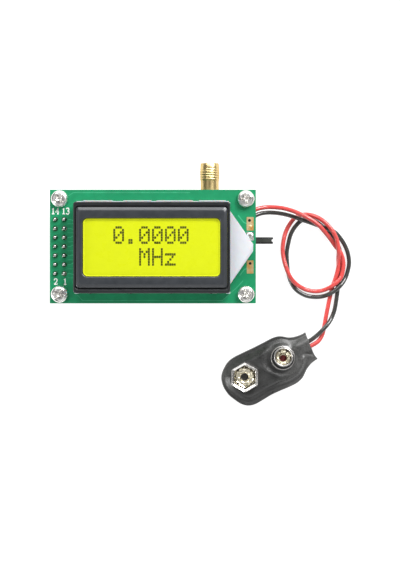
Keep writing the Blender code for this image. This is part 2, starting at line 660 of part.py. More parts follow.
# ---------------------------------------------------------------- switches and trimmer
def build_slide_switch():
    low, high = MAIN_TOP + GAP, MAIN_TOP + GAP + SWITCH_H
    y0, y1 = SWITCH_Y - SWITCH_HALF, SWITCH_Y + SWITCH_HALF
    ends = (SWITCH_LOW_X, y0, low), (SWITCH_HIGH_X, y1, high)
    shell = block("power_switch_shell", *ends, "nickel", bevel=0.2)
    w = SWITCH_WALL
    room = (SWITCH_LOW_X + w, y0 + w, low - 1), (SWITCH_HIGH_X - w, y1 - w, high - w)
    slot_half = (LEVER_W + SWITCH_TRAVEL) / 2 + 0.2
    mid = low + SWITCH_H / 2 + 0.1
    slot = (SWITCH_HIGH_X - 1, SWITCH_Y - slot_half, mid - LEVER_T / 2 - GAP)
    slot_end = (SWITCH_HIGH_X + 1, SWITCH_Y + slot_half, mid + LEVER_T / 2 + GAP)
    cut(shell, block("switch_room", *room, helper=True), block("switch_slot", slot, slot_end, helper=True))
    w += GAP
    base_low = (SWITCH_LOW_X + w, y0 + w, low)
    base = block("power_switch_base", base_low, (SWITCH_HIGH_X - w, y1 - w, low + 1.0), "phenolic")
    for i in (-1, 0, 1):
        x, y = (SWITCH_LOW_X + SWITCH_HIGH_X) / 2, SWITCH_Y + 2.5 * i
        pin = (x - 0.3, y - 0.3, MAIN_LOW - 1.2), (x + 0.3, y + 0.3, low + 0.5)
        join(base, block(f"switch_pin_{i}", *pin, helper=True))
    build_lever(low, high, mid)


def build_lever(low, high, mid):
    """The slider and its handle, at the end of its travel nearest the jack."""
    y = SWITCH_Y + SWITCH_TRAVEL / 2
    tip, root, half = LEVER_TIP, SWITCH_HIGH_X - SWITCH_WALL - 1.0, LEVER_W / 2
    notch = tip - LEVER_NOTCH
    outline = [(root, -half), (tip, -half), (notch, -0.28), (notch, 0.28), (tip, half), (root, half)]
    lever = plate("power_switch_lever", [outline], mid - LEVER_T / 2, mid + LEVER_T / 2, "black_plastic")
    lever.location.y = y * MM
    end = SWITCH_HIGH_X - SWITCH_WALL - GAP
    slider = (SWITCH_LOW_X + 0.6, y - 1.6, low + 1.1), (end, y + 1.6, high - SWITCH_WALL - GAP)
    join(lever, block("switch_slider", *slider, helper=True))


def build_keys():
    """Two square push keys under the counter board; each cap moves up into its housing."""
    for name, x in (("left_key", -12.0), ("right_key", -1.0)):
        y, top = -8.0, MAIN_LOW - GAP
        body_low = (x - 3.0, y - 3.0, top - 3.4)
        body = block(f"{name}_housing", body_low, (x + 3.0, y + 3.0, top), "black_plastic", bevel=0.2)
        cut(body, prism(f"{name}_well", (x, y), 1.8, top - 5.0, top - 1.4, 20, helper=True))
        cap = prism(f"{name}_button", (x, y), 1.7, top - 4.8, top - 1.9, 20, "black_plastic")
        add_bevel(cap, 0.12)


def build_trimmer():
    x, y, top = 14.0, -8.0, MAIN_LOW - GAP
    ends = (x - 2.3, y - 2.3, top - 2.6), (x + 2.3, y + 2.3, top)
    body = block("contrast_trimmer_body", *ends, "ptfe", bevel=0.2)
    cut(body, prism("trimmer_well", (x, y), 1.75, top - 4.0, top - 1.2, 20, helper=True))
    rotor = prism("contrast_trimmer_rotor", (x, y), 1.6, top - 2.9, top - 1.5, 20, "nickel")
    slot = (x - 1.3, y - 0.25, top - 4), (x + 1.3, y + 0.25, top - 2.4)
    cut(rotor, block("trimmer_slot", *slot, helper=True))


# ---------------------------------------------------------------- counter board
def build_main_board():
    holes = [circle(x, y, HOLE_R, 12) for x, y in hole_places()]
    for sx in (-1, 1):
        holes += [rectangle(JACK_X + sx * 2.54, y, 1.1, 1.1) for y in (JACK_FACE - 5.7, JACK_FACE - 0.7)]
    x = (SWITCH_LOW_X + SWITCH_HIGH_X) / 2
    holes += [rectangle(x, SWITCH_Y + 2.5 * i, 0.9, 0.9) for i in (-1, 0, 1)]
    plate("main_board", [rectangle(0, 0, BOARD_X, BOARD_Y), *holes], MAIN_LOW, MAIN_TOP, "board")


def build_chips():
    low = MAIN_TOP + GAP
    chips = (
        ("microcontroller", -8.0, 2.0, 10.2, 5.3, 1.8),
        ("prescaler_chip", 9.0, 9.0, 4.9, 3.9, 1.6),
        ("voltage_regulator", 19.0, -6.0, 4.5, 2.5, 1.5),
    )
    for name, x, y, width, depth, height in chips:
        corner = (x + width / 2, y + depth / 2, low + height)
        block(name, (x - width / 2, y - depth / 2, low), corner, "epoxy", bevel=0.2)
    loop = rounded(3.0, -9.0, 11.0, 4.6, 2.25, steps=5)
    can = plate("reference_crystal", [loop], low, low + 3.5, "nickel")
    add_bevel(can, 0.3)
    profile = [(0, low + 5.4), (2.3, low + 5.4), (2.5, low + 5.2), (2.5, low), (0, low)]
    turned("filter_capacitor", profile, 20, "aluminium").location = (18.0 * MM, -12.0 * MM, 0)


# ---------------------------------------------------------------- battery leads and clip
def build_leads():
    tube("battery_lead_positive", smooth_route(RED_ROUTE, 76), WIRE_R, "red_pvc")
    tube("battery_lead_negative", smooth_route(BLACK_ROUTE, 76), WIRE_R, "black_pvc")


def place_clip(*pieces):
    for piece in pieces:
        spot = Matrix.Rotation(CLIP_ANGLE, 4, "Z") @ piece.location
        piece.location = spot + Vector((*CLIP_PLACE, 0)) * MM
        piece.rotation_euler.z += CLIP_ANGLE


def build_clip():
    """Two vinyl covers over a stiff plate that carries a hexagonal snap socket and a round snap stud."""
    back = plate("clip_back_cover", [clip_outline()], 0.0, CLIP_BACK_T, "leatherette")
    low = CLIP_BACK_T + GAP
    front = plate("clip_front_cover", [clip_outline()], low, CLIP_TOP, "leatherette")
    pocket = plate("clip_pocket", [clip_outline(1.7)], 0.5, CLIP_POCKET, helper=True)
    mouth_ends = (17.0, CLIP_MOUTH[0], 0.5), (24.0, CLIP_MOUTH[1], CLIP_POCKET)
    mouth = block("clip_mouth", *mouth_ends, helper=True)
    holes = [prism(f"cover_hole_{i}", p, 1.4, 1, 5, 16, helper=True) for i, p in enumerate(SNAP_PLACES)]
    cut(front, pocket, mouth, *holes)
    outline = [p for p in clip_outline(2.6) if p[0] < PLATE_END]
    rings = [circle(*p, 1.4, 16) for p in SNAP_PLACES]
    stiff = plate("clip_plate", [outline, *rings], *CLIP_PLATE_Z, "fibre")
    place_clip(back, front, pocket, mouth, stiff, *holes, *build_snaps())


def build_snaps():
    rivets = []
    for name, (x, y) in zip(("socket_rivet", "stud_rivet"), SNAP_PLACES, strict=True):
        base, neck, flare = CLIP_BACK_T + GAP, 1.3, 4.1
        outer = [(0.8, flare + 0.4), (2.1, flare + 0.5), (2.1, flare + 0.2)]
        outer += [(1.25, flare - 0.2), (1.25, neck)]
        inner = [(2.2, neck), (2.2, base), (0.8, base)]
        rivet = turned(name, outer + inner, 20, "gold", closed=True)
        rivet.location = (x * MM, y * MM, 0)
        rivets.append(rivet)
    return [*rivets, *build_snap_socket(), build_snap_stud()]


def build_snap_socket():
    turn = -math.degrees(CLIP_ANGLE)
    corner_r = SNAP_AF / math.sqrt(3)
    inner_r = (SNAP_AF - 2 * SNAP_SHEET) / math.sqrt(3)
    socket = prism("snap_socket", (0, 0), corner_r, SNAP_LOW, SNAP_TOP, 6, "nickel", turn=turn)
    room = prism("snap_room", (0, 0), inner_r, SNAP_LOW + SNAP_SHEET, 9, 6, helper=True, turn=turn)
    hole = prism("snap_hole", (0, 0), 1.4, 1, 5, 16, helper=True)
    cut(socket, room, hole)
    return socket, room, hole


def build_snap_stud():
    low, top = SNAP_LOW, SNAP_TOP - 0.1
    outer = [(2.25, top - 0.25), (2.4, top), (2.7, top), (2.85, top - 0.25)]
    outer += [(2.85, top - 1.0), (2.55, low + 0.9)]
    base = [(2.6, low + 0.3), (3.7, low + 0.3), (3.7, low), (1.4, low), (1.4, low + 0.3), (2.25, low + 0.3)]
    stud = turned("snap_stud", outer + base, 24, "nickel", closed=True)
    stud.location = (SNAP_PLACES[1][0] * MM, SNAP_PLACES[1][1] * MM, 0)
    return stud


def build_all():
    build_lcd_board()
    build_bezel()
    build_glass()
    build_backlight()
    build_driver_blobs()
    build_screws()
    build_spacers()
    build_board_connector()
    build_jack()
    build_power_connector()
    build_slide_switch()
    build_keys()
    build_trimmer()
    build_main_board()
    build_chips()
    build_leads()
    build_clip()
    shade_round()


clear_scene()
MATERIALS = make_materials()
PARTS = make_collection("frequency_counter")
CUTTERS = make_collection("cutters")
COUNTER = bpy.data.objects.new("counter", None)
PARTS.objects.link(COUNTER)
# The origin is under the middle of the counter's own box, lever and jack included.
COUNTER.location = Vector((BOARD_X / 2 - LEVER_TIP, BOARD_Y / 2 - JACK_TIP, 0)) * MM / 2
build_all()
bpy.context.view_layer.update()
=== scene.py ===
"""The look of a pocket frequency counter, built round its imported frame.

Design numbers are millimetres from the middle of the display board, with z from the surface that the counter
stands on. TO_ROW turns them into the row's metres.
"""

import math
import random

import bmesh
import bpy
from mathutils import Matrix, Vector, noise


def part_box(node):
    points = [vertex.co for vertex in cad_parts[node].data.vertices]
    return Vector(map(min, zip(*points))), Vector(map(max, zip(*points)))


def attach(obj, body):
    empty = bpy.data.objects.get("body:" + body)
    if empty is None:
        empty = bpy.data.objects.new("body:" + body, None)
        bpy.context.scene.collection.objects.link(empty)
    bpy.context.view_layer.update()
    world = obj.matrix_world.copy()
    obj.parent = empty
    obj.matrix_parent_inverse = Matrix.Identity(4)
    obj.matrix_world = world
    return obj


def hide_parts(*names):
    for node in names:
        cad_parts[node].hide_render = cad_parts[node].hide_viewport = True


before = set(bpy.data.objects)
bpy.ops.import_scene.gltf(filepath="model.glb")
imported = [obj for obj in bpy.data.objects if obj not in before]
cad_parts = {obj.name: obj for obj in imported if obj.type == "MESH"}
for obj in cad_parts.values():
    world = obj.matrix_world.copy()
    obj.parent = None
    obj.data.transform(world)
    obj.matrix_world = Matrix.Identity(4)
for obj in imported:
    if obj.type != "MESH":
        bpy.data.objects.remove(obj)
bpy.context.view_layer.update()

MM = 0.001
BOARD_LOW, BOARD_HIGH = (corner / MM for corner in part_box("lcd_board"))
ORIGIN = (BOARD_LOW + BOARD_HIGH) / 2
TO_ROW = Matrix.Scale(MM, 4) @ Matrix.Translation((ORIGIN.x, ORIGIN.y, 0.0))


def cad(node):
    """A node's low and high corner in millimetres from the middle of the display board."""
    low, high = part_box(node)
    back = TO_ROW.inverted()
    return back @ low, back @ high


def middle(node):
    """A node's middle in plan, and half its width and depth."""
    low, high = cad(node)
    return (low.x + high.x) / 2, (low.y + high.y) / 2, (high.x - low.x) / 2, (high.y - low.y) / 2


LCD_LOW, LCD_TOP = BOARD_LOW.z, BOARD_HIGH.z
MAIN_LOW, MAIN_TOP = (corner.z for corner in cad("main_board"))
LCD_Y = -0.5  # middle of the display itself, a little below the middle of its board
HOLES = [middle(f"lcd_screw_{i}")[:2] for i in (1, 2, 3, 4)]
PIN_PITCH = 2.54
PIN_COLUMNS = (-27.46, -24.92)
PIN_ROWS = [PIN_PITCH * i for i in range(-3, 4)]
PINS = [(x, y) for x in PIN_COLUMNS for y in PIN_ROWS]
CORNERS = [(sx, sy) for sx in (-1, 1) for sy in (-1, 1)]
SEAT = 0.1  # gap under a part that stands on a board


# ---------------------------------------------------------------- camera and light
VIEW_MIDDLE = (13.28, -10.83)
VIEW_HEIGHT = 300.0
LIGHT_AIM = (0.01, -0.01, 0.0)
# Lights, in metres: name, place, size and power
LIGHTS = (
    ("key", (0.28, 0.36, 0.38), (0.35, 0.25), 3.9),
    ("second", (-0.14, 0.44, 0.38), (0.35, 0.25), 1.3),
    ("fill", (0.1, -0.42, 0.34), (0.5, 0.2), 0.35),
    ("rim", (-0.42, -0.2, 0.16), (0.15, 0.25), 1.3),
)
# Brightness of the surroundings from the horizon, 0, to straight above, 1
SKY = ((0.0, 0.5), (0.45, 0.45), (0.7, 0.6), (0.82, 2.8), (0.92, 2.8), (0.965, 0.5), (0.99, 0.3))
SKY_STRENGTH = 0.23


def make_camera():
    """Straight above the middle of the picture: counter at the upper left, clip at the lower right."""
    camera = bpy.data.objects.new("camera", bpy.data.cameras.new("camera"))
    bpy.context.scene.collection.objects.link(camera)
    camera.location = TO_ROW @ Vector((*VIEW_MIDDLE, LCD_TOP + VIEW_HEIGHT))
    camera.data.lens = 67.3
    camera.data.sensor_width = 36.0
    camera.data.clip_start = 0.01
    bpy.context.scene.camera = camera


def area_light(name, place, size, power):
    """A soft light that faces the middle of the object."""
    data = bpy.data.lights.new(name, "AREA")
    data.shape = "RECTANGLE"
    data.size, data.size_y = size
    data.energy = power
    light = bpy.data.objects.new(name, data)
    bpy.context.scene.collection.objects.link(light)
    light.location = place
    aim = Vector(LIGHT_AIM) - Vector(place)
    light.rotation_euler = aim.to_track_quat("-Z", "Y").to_euler()


def make_light():
    """A white tent, bright in a band round the camera, and four soft lights."""
    scene = bpy.context.scene
    scene.view_settings.view_transform = "Standard"
    scene.world = bpy.data.worlds.new("tent")
    scene.world.use_nodes = True
    tree = scene.world.node_tree
    direction = node(tree, "ShaderNodeTexCoord").outputs["Generated"]
    height = node(tree, "ShaderNodeSeparateXYZ", {0: direction}).outputs["Z"]
    ramp = node(tree, "ShaderNodeValToRGB", {0: height})
    elements = ramp.color_ramp.elements
    while len(elements) < len(SKY):
        elements.new(1.0)
    for element, (place, shade) in zip(elements, SKY, strict=True):
        element.position = place
        element.color = (shade, shade, shade, 1.0)
    background = tree.nodes["Background"].inputs
    tree.links.new(ramp.outputs[0], background["Color"])
    background["Strength"].default_value = SKY_STRENGTH
    for light in LIGHTS:
        area_light(*light)


# ---------------------------------------------------------------- materials
def node(tree, kind, inputs=(), **settings):
    """A new shader node; an input is a value or another node's output."""
    made = tree.nodes.new(kind)
    for key, value in settings.items():
        setattr(made, key, value)
    for key, value in dict(inputs).items():
        if isinstance(value, bpy.types.NodeSocket):
            tree.links.new(value, made.inputs[key])
        else:
            made.inputs[key].default_value = value
    return made


def mix(tree, share, a, b):
    """The colour a where share is 0 and b where it is 1."""
    return node(tree, "ShaderNodeMix", {0: share, 6: a, 7: b}, data_type="RGBA").outputs[2]


def math_node(tree, operation, *values):
    """The output of a Math node."""
    return node(tree, "ShaderNodeMath", enumerate(values), operation=operation).outputs[0]


def vector_math(tree, operation, a, b):
    """The output of a Vector Math node."""
    return node(tree, "ShaderNodeVectorMath", {0: a, 1: b}, operation=operation).outputs[0]


def noise_value(tree, scale, detail=3.0, low=0.35, high=0.65, stretch=None):
    """A noise of scale cells a millimetre, from 0 to 1."""
    place = node(tree, "ShaderNodeTexCoord").outputs["Object"]
    if stretch:
        place = vector_math(tree, "MULTIPLY", place, stretch)
    cells = node(tree, "ShaderNodeTexNoise", {"Vector": place, "Scale": scale / MM, "Detail": detail})
    spread = {"Value": cells.outputs["Fac"], "From Min": low, "From Max": high}
    return node(tree, "ShaderNodeMapRange", spread).outputs[0]


def finish_surface(tree, colour, rough, spread, grain, depth, stretch=None, height=None):
    """Colour, roughness varied by spread, and bumps: grain cells a millimetre, depth millimetres high."""
    shader = tree.nodes["Principled BSDF"]
    if isinstance(colour, bpy.types.NodeSocket):
        tree.links.new(colour, shader.inputs["Base Color"])
    worn = noise_value(tree, 0.45, 4.0, stretch=stretch)
    limits = {"Value": worn, "To Min": max(rough - spread, 0.02), "To Max": rough + spread}
    tree.links.new(node(tree, "ShaderNodeMapRange", limits).outputs[0], shader.inputs["Roughness"])
    if depth:
        height = height or noise_value(tree, grain, 2.0, 0.2, 0.8, stretch)
        bump = node(tree, "ShaderNodeBump", {"Height": height, "Strength": 1.0, "Distance": depth * MM})
        tree.links.new(bump.outputs[0], shader.inputs["Normal"])


def surface(
    name,
    colour,
    rough,
    metal=0.0,
    mottle=0.12,
    spread=0.06,
    grain=6.0,
    depth=0.004,
    stretch=None,
    other=None,
    **more,
):
    """A surface of mottled colour, or patches of an other one, with uneven gloss and fine bumps."""
    material = bpy.data.materials.new(name)
    material.use_nodes = True
    tree = material.node_tree
    shader = tree.nodes["Principled BSDF"]
    shader.inputs["Metallic"].default_value = metal
    for key, value in more.items():
        shader.inputs[key.replace("_", " ")].default_value = value
    dark = [c * (1.0 - mottle) for c in colour] + [1.0]
    light = [min(c * (1.0 + mottle), 1.0) for c in other or colour] + [1.0]
    shade = mix(tree, noise_value(tree, 0.6, 4.0, stretch=stretch), dark, light)
    finish_surface(tree, shade, rough, spread, grain, depth, stretch)
    return material


def board_surface(name):
    """Green solder mask over laminate, whose yellowish cut edge shows round the board."""
    green = (0.01, 0.27, 0.112)
    material = surface(name, green, 0.33, mottle=0.04, spread=0.015, grain=3.0, depth=0.002, Coat_Weight=0.25)
    tree = material.node_tree
    shader = tree.nodes["Principled BSDF"]
    shade = shader.inputs["Base Color"].links[0].from_socket
    face = node(tree, "ShaderNodeNewGeometry").outputs["Normal"]
    upright = node(tree, "ShaderNodeSeparateXYZ", {0: face}).outputs["Z"]
    edge = math_node(tree, "LESS_THAN", math_node(tree, "ABSOLUTE", upright), 0.5)
    layers = noise_value(tree, 4.0, stretch=(0.2, 0.2, 3.0))
    raw = mix(tree, layers, (0.3, 0.34, 0.12, 1), (0.16, 0.27, 0.09, 1))
    tree.links.new(mix(tree, edge, shade, raw), shader.inputs["Base Color"])
    return material


def leather_surface(name):
    """Grained vinyl: fine rounded cells with paler high spots, and a painted sheen that makes it paler towards its
    two ends.
    """
    material = surface(name, (0.035, 0.036, 0.035), 0.34, Specular_IOR_Level=0.75)
    tree = material.node_tree
    place = node(tree, "ShaderNodeTexCoord").outputs["Object"]
    wobble = node(tree, "ShaderNodeTexNoise", {"Vector": place, "Scale": 0.9 / MM, "Detail": 2.0})
    shift = vector_math(tree, "MULTIPLY", wobble.outputs["Color"], (0.0006,) * 3)
    bent = vector_math(tree, "ADD", place, shift)
    cells = node(tree, "ShaderNodeTexVoronoi", {"Vector": bent, "Scale": 3.8 / MM}, feature="SMOOTH_F1")
    spread = {"Value": cells.outputs["Distance"], "From Max": 0.7, "To Min": 1.0, "To Max": 0.0}
    grain = node(tree, "ShaderNodeMapRange", spread).outputs[0]
    worn = noise_value(tree, 0.25, 3.0, 0.3, 0.7)
    # Painted sheen: the colour turns paler towards both ends of the clip, standing in for light falling there
    along = node(tree, "ShaderNodeSeparateXYZ", {0: place}).outputs["X"]
    away = math_node(tree, "ABSOLUTE", math_node(tree, "SUBTRACT", along, 0.0285))
    reach = {"Value": away, "From Min": 0.005, "From Max": 0.014}
    painted_sheen = node(tree, "ShaderNodeMapRange", reach).outputs[0]
    dark = mix(tree, worn, (0.018, 0.018, 0.0175, 1), (0.03, 0.03, 0.0295, 1))
    dark = mix(tree, painted_sheen, dark, (0.055, 0.055, 0.053, 1))
    pale = mix(tree, worn, (0.034, 0.035, 0.034, 1), (0.06, 0.061, 0.06, 1))
    pale = mix(tree, painted_sheen, pale, (0.125, 0.125, 0.122, 1))
    finish_surface(tree, mix(tree, grain, dark, pale), 0.34, 0.07, 0, 0.02, height=grain)
    return material


def coat(weight, rough):
    """Settings of a clear coat."""
    return {"Coat_Weight": weight, "Coat_Roughness": rough}


def glow(colour, strength):
    """Settings of a surface that gives light."""
    return {"Emission_Color": (*colour, 1), "Emission_Strength": strength}


def make_materials():
    """The looks by name; each is a surface with its own mottling, gloss and bumps."""
    plated = {"metal": 1.0, "mottle": 0.05, "grain": 2.0, "depth": 0.003}
    solder = {"metal": 1.0, "grain": 2.5, "depth": 0.02}
    paint = {"mottle": 0.1, "grain": 9.0}
    moulded = {"mottle": 0.2, "grain": 5.0, "depth": 0.01}
    vinyl = {"mottle": 0.08, "spread": 0.04, "grain": 3.0, "depth": 0.002, **coat(0.8, 0.12)}
    lit = {"mottle": 0.015, "grain": 0.5, "depth": 0.001, "Specular_IOR_Level": 0.15}
    milky = {"Subsurface_Weight": 0.25, "Subsurface_Scale": 0.002}
    lit_colour, rim_colour = (0.55, 0.61, 0.01), (0.7, 0.76, 0.02)
    return {
        "mask": board_surface("solder_mask"),
        "trace": surface("covered_copper", (0.05, 0.4, 0.2), 0.35),
        "silk": surface("marking_ink", (0.85, 0.88, 0.84), 0.5, mottle=0.06),
        "pad": surface("bare_gilt_pad", (0.68, 0.36, 0.09), 0.42, 0.4, mottle=0.15, other=(0.52, 0.42, 0.24)),
        "tin": surface("solder", (0.82, 0.82, 0.79), 0.33, mottle=0.15, spread=0.12, **solder),
        # Dark greenish solder for the header pins: painted shade and reflection
        "solder_shade": surface("shaded_solder", (0.2, 0.25, 0.2), 0.24, mottle=0.2, spread=0.08, **solder),
        "screw": surface("screw_nickel", (0.97, 0.95, 0.92), 0.27, **plated),
        "nickel": surface("bright_nickel", (0.92, 0.9, 0.87), 0.19, **plated),
        "steel": surface("satin_nickel", (0.7, 0.68, 0.66), 0.3, **plated),
        "gold": surface("gold_plate", (0.8, 0.62, 0.3), 0.36, Specular_Tint=(0.7, 0.55, 0.32, 1), **plated),
        "brass": surface("pale_brass", (0.86, 0.8, 0.62), 0.3, **plated),
        "bezel": surface("bezel_paint", (0.031, 0.035, 0.041), 0.36, **coat(0.6, 0.22), **paint),
        # A darker copy of the bezel's paint for its skirt: painted shade on the walls, shoulder and groove
        "shade": surface("skirt_painted_shade", (0.014, 0.016, 0.018), 0.36, Coat_Weight=0.4, **paint),
        # Black for painted shadow: the ring round the display's window, the stud's groove and the plated holes
        "shadow_black": surface("painted_shadow_black", (0.006, 0.007, 0.008), 0.3),
        "lit": surface("lit_polariser", lit_colour, 0.3, **glow(lit_colour, 0.15), **lit),
        "lit_rim": surface("lit_rim", rim_colour, 0.3, **glow(rim_colour, 0.3), **lit),
        "ink": surface("display_dot", (0.07, 0.075, 0.006), 0.3, mottle=0.2),
        "white": surface("milky_plastic", (0.62, 0.635, 0.67), 0.35, mottle=0.02, **milky),
        "teflon": surface("white_fluoroplastic", (0.85, 0.85, 0.82), 0.5, mottle=0.04, grain=2.0, depth=0.01),
        "trimmer": surface("cream_moulding", (0.7, 0.72, 0.7), 0.45, mottle=0.05),
        "black": surface("black_moulding", (0.02, 0.02, 0.021), 0.42, **moulded),
        "lever": surface("lever_moulding", (0.045, 0.048, 0.042), 0.38, **moulded),
        "rubber": surface(
            "zebra_rubber", (0.05, 0.05, 0.052), 0.8, mottle=0.4, grain=4.0, depth=0.02, stretch=(3, 0.1, 0.1)
        ),
        "epoxy": surface("moulded_epoxy", (0.014, 0.014, 0.015), 0.38, mottle=0.25, grain=9.0, depth=0.006),
        "brown": surface("ceramic_body", (0.3, 0.2, 0.12), 0.45, mottle=0.2),
        "phenolic": surface("brown_laminate", (0.16, 0.08, 0.035), 0.55, mottle=0.3, stretch=(1, 1, 6)),
        "fibre": surface("vulcanised_fibre", (0.22, 0.11, 0.05), 0.8, mottle=0.3, depth=0.02, stretch=(0.3, 2, 1)),
        "oxblood": surface("oxblood_washer", (0.13, 0.012, 0.017), 0.5, mottle=0.3),
        "red": surface("red_vinyl", (0.72, 0.075, 0.068), 0.24, **vinyl),
        "dark": surface("black_vinyl", (0.04, 0.04, 0.037), 0.24, **vinyl),
        "leather": leather_surface("grained_vinyl"),
        "can": surface(
            "satin_can", (0.7, 0.7, 0.7), 0.35, 1.0, mottle=0.08, grain=3.0, depth=0.01, stretch=(1, 1, 0.2)
        ),
        "sleeve": surface("printed_sleeve", (0.02, 0.02, 0.03), 0.35, mottle=0.2),
        "floor": surface("pale_floor", (0.3,) * 3, 0.9, mottle=0.01, depth=0.0, **glow((1, 1, 1), 0.88)),
    }


# ---------------------------------------------------------------- shapes
def circle(radius, sides, x=0.0, y=0.0):
    """A flat loop of (x, y)."""
    angles = [2 * math.pi * i / sides for i in range(sides)]
    return [(x + radius * math.cos(a), y + radius * math.sin(a)) for a in angles]


def rounded(half_x, half_y, radius, steps=4, x=0.0, y=0.0):
    """A rectangle with round corners; the number of its points depends on steps only."""
    loop = []
    for sx, sy, start in ((1, 1, 0), (-1, 1, 90), (-1, -1, 180), (1, -1, 270)):
        middle_x, middle_y = x + sx * (half_x - radius), y + sy * (half_y - radius)
        for i in range(steps + 1):
            a = math.radians(start + 90 * i / steps)
            loop.append((middle_x + radius * math.cos(a), middle_y + radius * math.sin(a)))
    return loop


def level(loop, z):
    """A flat loop at a height."""
    return [(x, y, z) for x, y in loop]


def rings(profile, sides, x=0.0, y=0.0):
    """Circles at each (radius, height) of a profile."""
    return [level(circle(radius, sides, x, y), z) for radius, z in profile]


def frames(half_x, half_y, rows, radius, steps=5, x=0.0, y=0.0):
    """Rectangles with round corners at each (inset, height)."""
    return [level(rounded(half_x - inset, half_y - inset, radius, steps, x, y), z) for inset, z in rows]


def drawn_in(outline, centre, rows):
    """An outline at each (inset, height), drawn in towards a centre."""
    loops = []
    for inset, z in rows:
        loops.append([(*(Vector(p) + (Vector(centre) - Vector(p)).normalized() * inset), z) for p in outline])
    return loops


def skin(bm, loops, place=None, closed=False):
    """A closed solid whose surface runs through loops of equal length, or a ring if closed."""
    place = place or Matrix()
    rows = [[bm.verts.new(place @ Vector(p)) for p in loop] for loop in loops]
    pairs = list(zip(rows, rows[1:], strict=False)) + ([(rows[-1], rows[0])] if closed else [])
    for a, b in pairs:
        for i in range(len(a)):
            j = (i + 1) % len(a)
            bm.faces.new((a[i], a[j], b[j], b[i]))
    if not closed:
        bm.faces.new(rows[0][::-1])
        bm.faces.new(rows[-1])


def lathe(bm, profile, sides, place=None, closed=False):
    """A solid turned about z from a profile of (radius, height)."""
    skin(bm, rings(profile, sides), place, closed)


def block(bm, low, high, edge=0.08, place=None):
    """A box with softened edges."""
    (x0, y0, z0), (x1, y1, z1) = low, high
    rows = ((edge, z0), (0.0, z0 + edge), (0.0, z1 - edge), (edge, z1))
    skin(bm, frames((x1 - x0) / 2, (y1 - y0) / 2, rows, edge, 2, (x0 + x1) / 2, (y0 + y1) / 2), place)


def washer(bm, outer, inner, low, high):
    """A flat ring between two outlines of as many points."""
    skin(bm, [level(outer, low), level(outer, high), level(inner, high), level(inner, low)], closed=True)


def sweep(bm, points, section):
    """A solid with the (side, up) section carried along points."""
    points = [Vector(p) for p in points]
    loops = []
    for i, point in enumerate(points):
        ahead = (points[min(i + 1, len(points) - 1)] - points[max(i - 1, 0)]).normalized()
        side = ahead.cross(Vector((0, 0, 1)))
        side = side.normalized() if side.length > 1e-4 else Vector((1, 0, 0))
        up = side.cross(ahead)
        loops.append([point + side * a + up * b for a, b in section])
    skin(bm, loops)


def strip(bm, points, width, z, thick=0.03):
    """A flat line such as a trace, a leg or a stroke of a numeral; a point may add its own height to z."""
    a, b = width / 2, thick
    path = [(x, y, z + sum(rise)) for x, y, *rise in points]
    sweep(bm, path, [(-a, 0), (a, 0), (a, b), (-a, b)])


def turn_z(x, y, degrees=0.0, z=0.0):
    """Moves a shape to a place and turns it about its own upright."""
    return Matrix.Translation((x, y, z)) @ Matrix.Rotation(math.radians(degrees), 4, "Z")


def piece(name, bm, material, slot, body="counter", replaces=(), sharp=32.0):
    """A finished mesh, which rides on a body and may stand for CAD nodes."""
    bmesh.ops.transform(bm, matrix=TO_ROW, verts=bm.verts)
    bmesh.ops.recalc_face_normals(bm, faces=bm.faces)
    mesh = bpy.data.meshes.new(name)
    bm.to_mesh(mesh)
    bm.free()
    mesh.materials.append(LOOK[material])
    mesh.shade_smooth()
    mesh.set_sharp_from_angle(angle=math.radians(sharp))
    obj = bpy.data.objects.new(name, mesh)
    bpy.context.scene.collection.objects.link(obj)
    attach(obj, body)
    if replaces:
        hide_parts(*replaces)
    return obj


def dress(material, *names):
    """A better material on CAD nodes whose shape stays."""
    for name in names:
        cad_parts[name].material_slots[0].material = LOOK[material]


# ---------------------------------------------------------------- battery leads
RED_ROUTE = (
    (24.4, 7.6, 10.1), (26.6, 9.2, 10.1), (29.6, 11.2, 9.7), (32.5, 11.9, 8.7), (35.5, 12.0, 7.2),
    (38.4, 11.7, 5.8), (41.4, 10.9, 4.6), (44.2, 9.7, 3.8), (46.6, 8.4, 3.5), (48.6, 6.9, 3.6),
    (50.4, 5.0, 3.1), (52.2, 2.9, 2.3), (53.7, 0.8, 2.0), (55.1, -0.9, 2.2), (55.9, -3.0, 2.1),
    (56.1, -5.3, 2.1), (55.5, -8.2, 2.3), (54.4, -9.7, 2.6), (53.2, -10.8, 2.5), (51.6, -11.8, 1.7),
    (49.8, -12.5, 0.8), (47.6, -12.7, 0.7), (44.8, -12.1, 0.8), (42.3, -10.7, 1.6), (40.3, -8.6, 2.3),
    (39.1, -5.9, 2.3), (38.3, -3.1, 1.9), (38.0, -0.3, 1.5), (38.3, 2.6, 1.2), (39.0, 5.1, 0.7),
    (40.3, 7.6, 0.7), (42.1, 9.6, 0.7), (44.6, 10.3, 1.0), (47.0, 9.9, 2.1), (49.2, 8.8, 3.0),
    (51.1, 7.2, 3.6), (52.7, 5.2, 3.7), (53.8, 3.0, 3.6), (54.3, 1.0, 3.6), (54.5, -1.0, 3.5),
    (54.5, -3.0, 2.7), (54.6, -5.2, 2.1), (54.2, -7.3, 1.9), (53.6, -9.5, 1.3), (53.0, -11.3, 0.7),
    (52.3, -14.2, 0.7), (51.7, -17.0, 0.7), (51.1, -20.0, 0.7), (50.6, -22.8, 0.7), (50.0, -25.6, 0.8),
    (48.6, -27.7, 1.4), (46.3, -29.1, 1.7), (42.7, -31.1, 1.7),
)  # fmt: skip
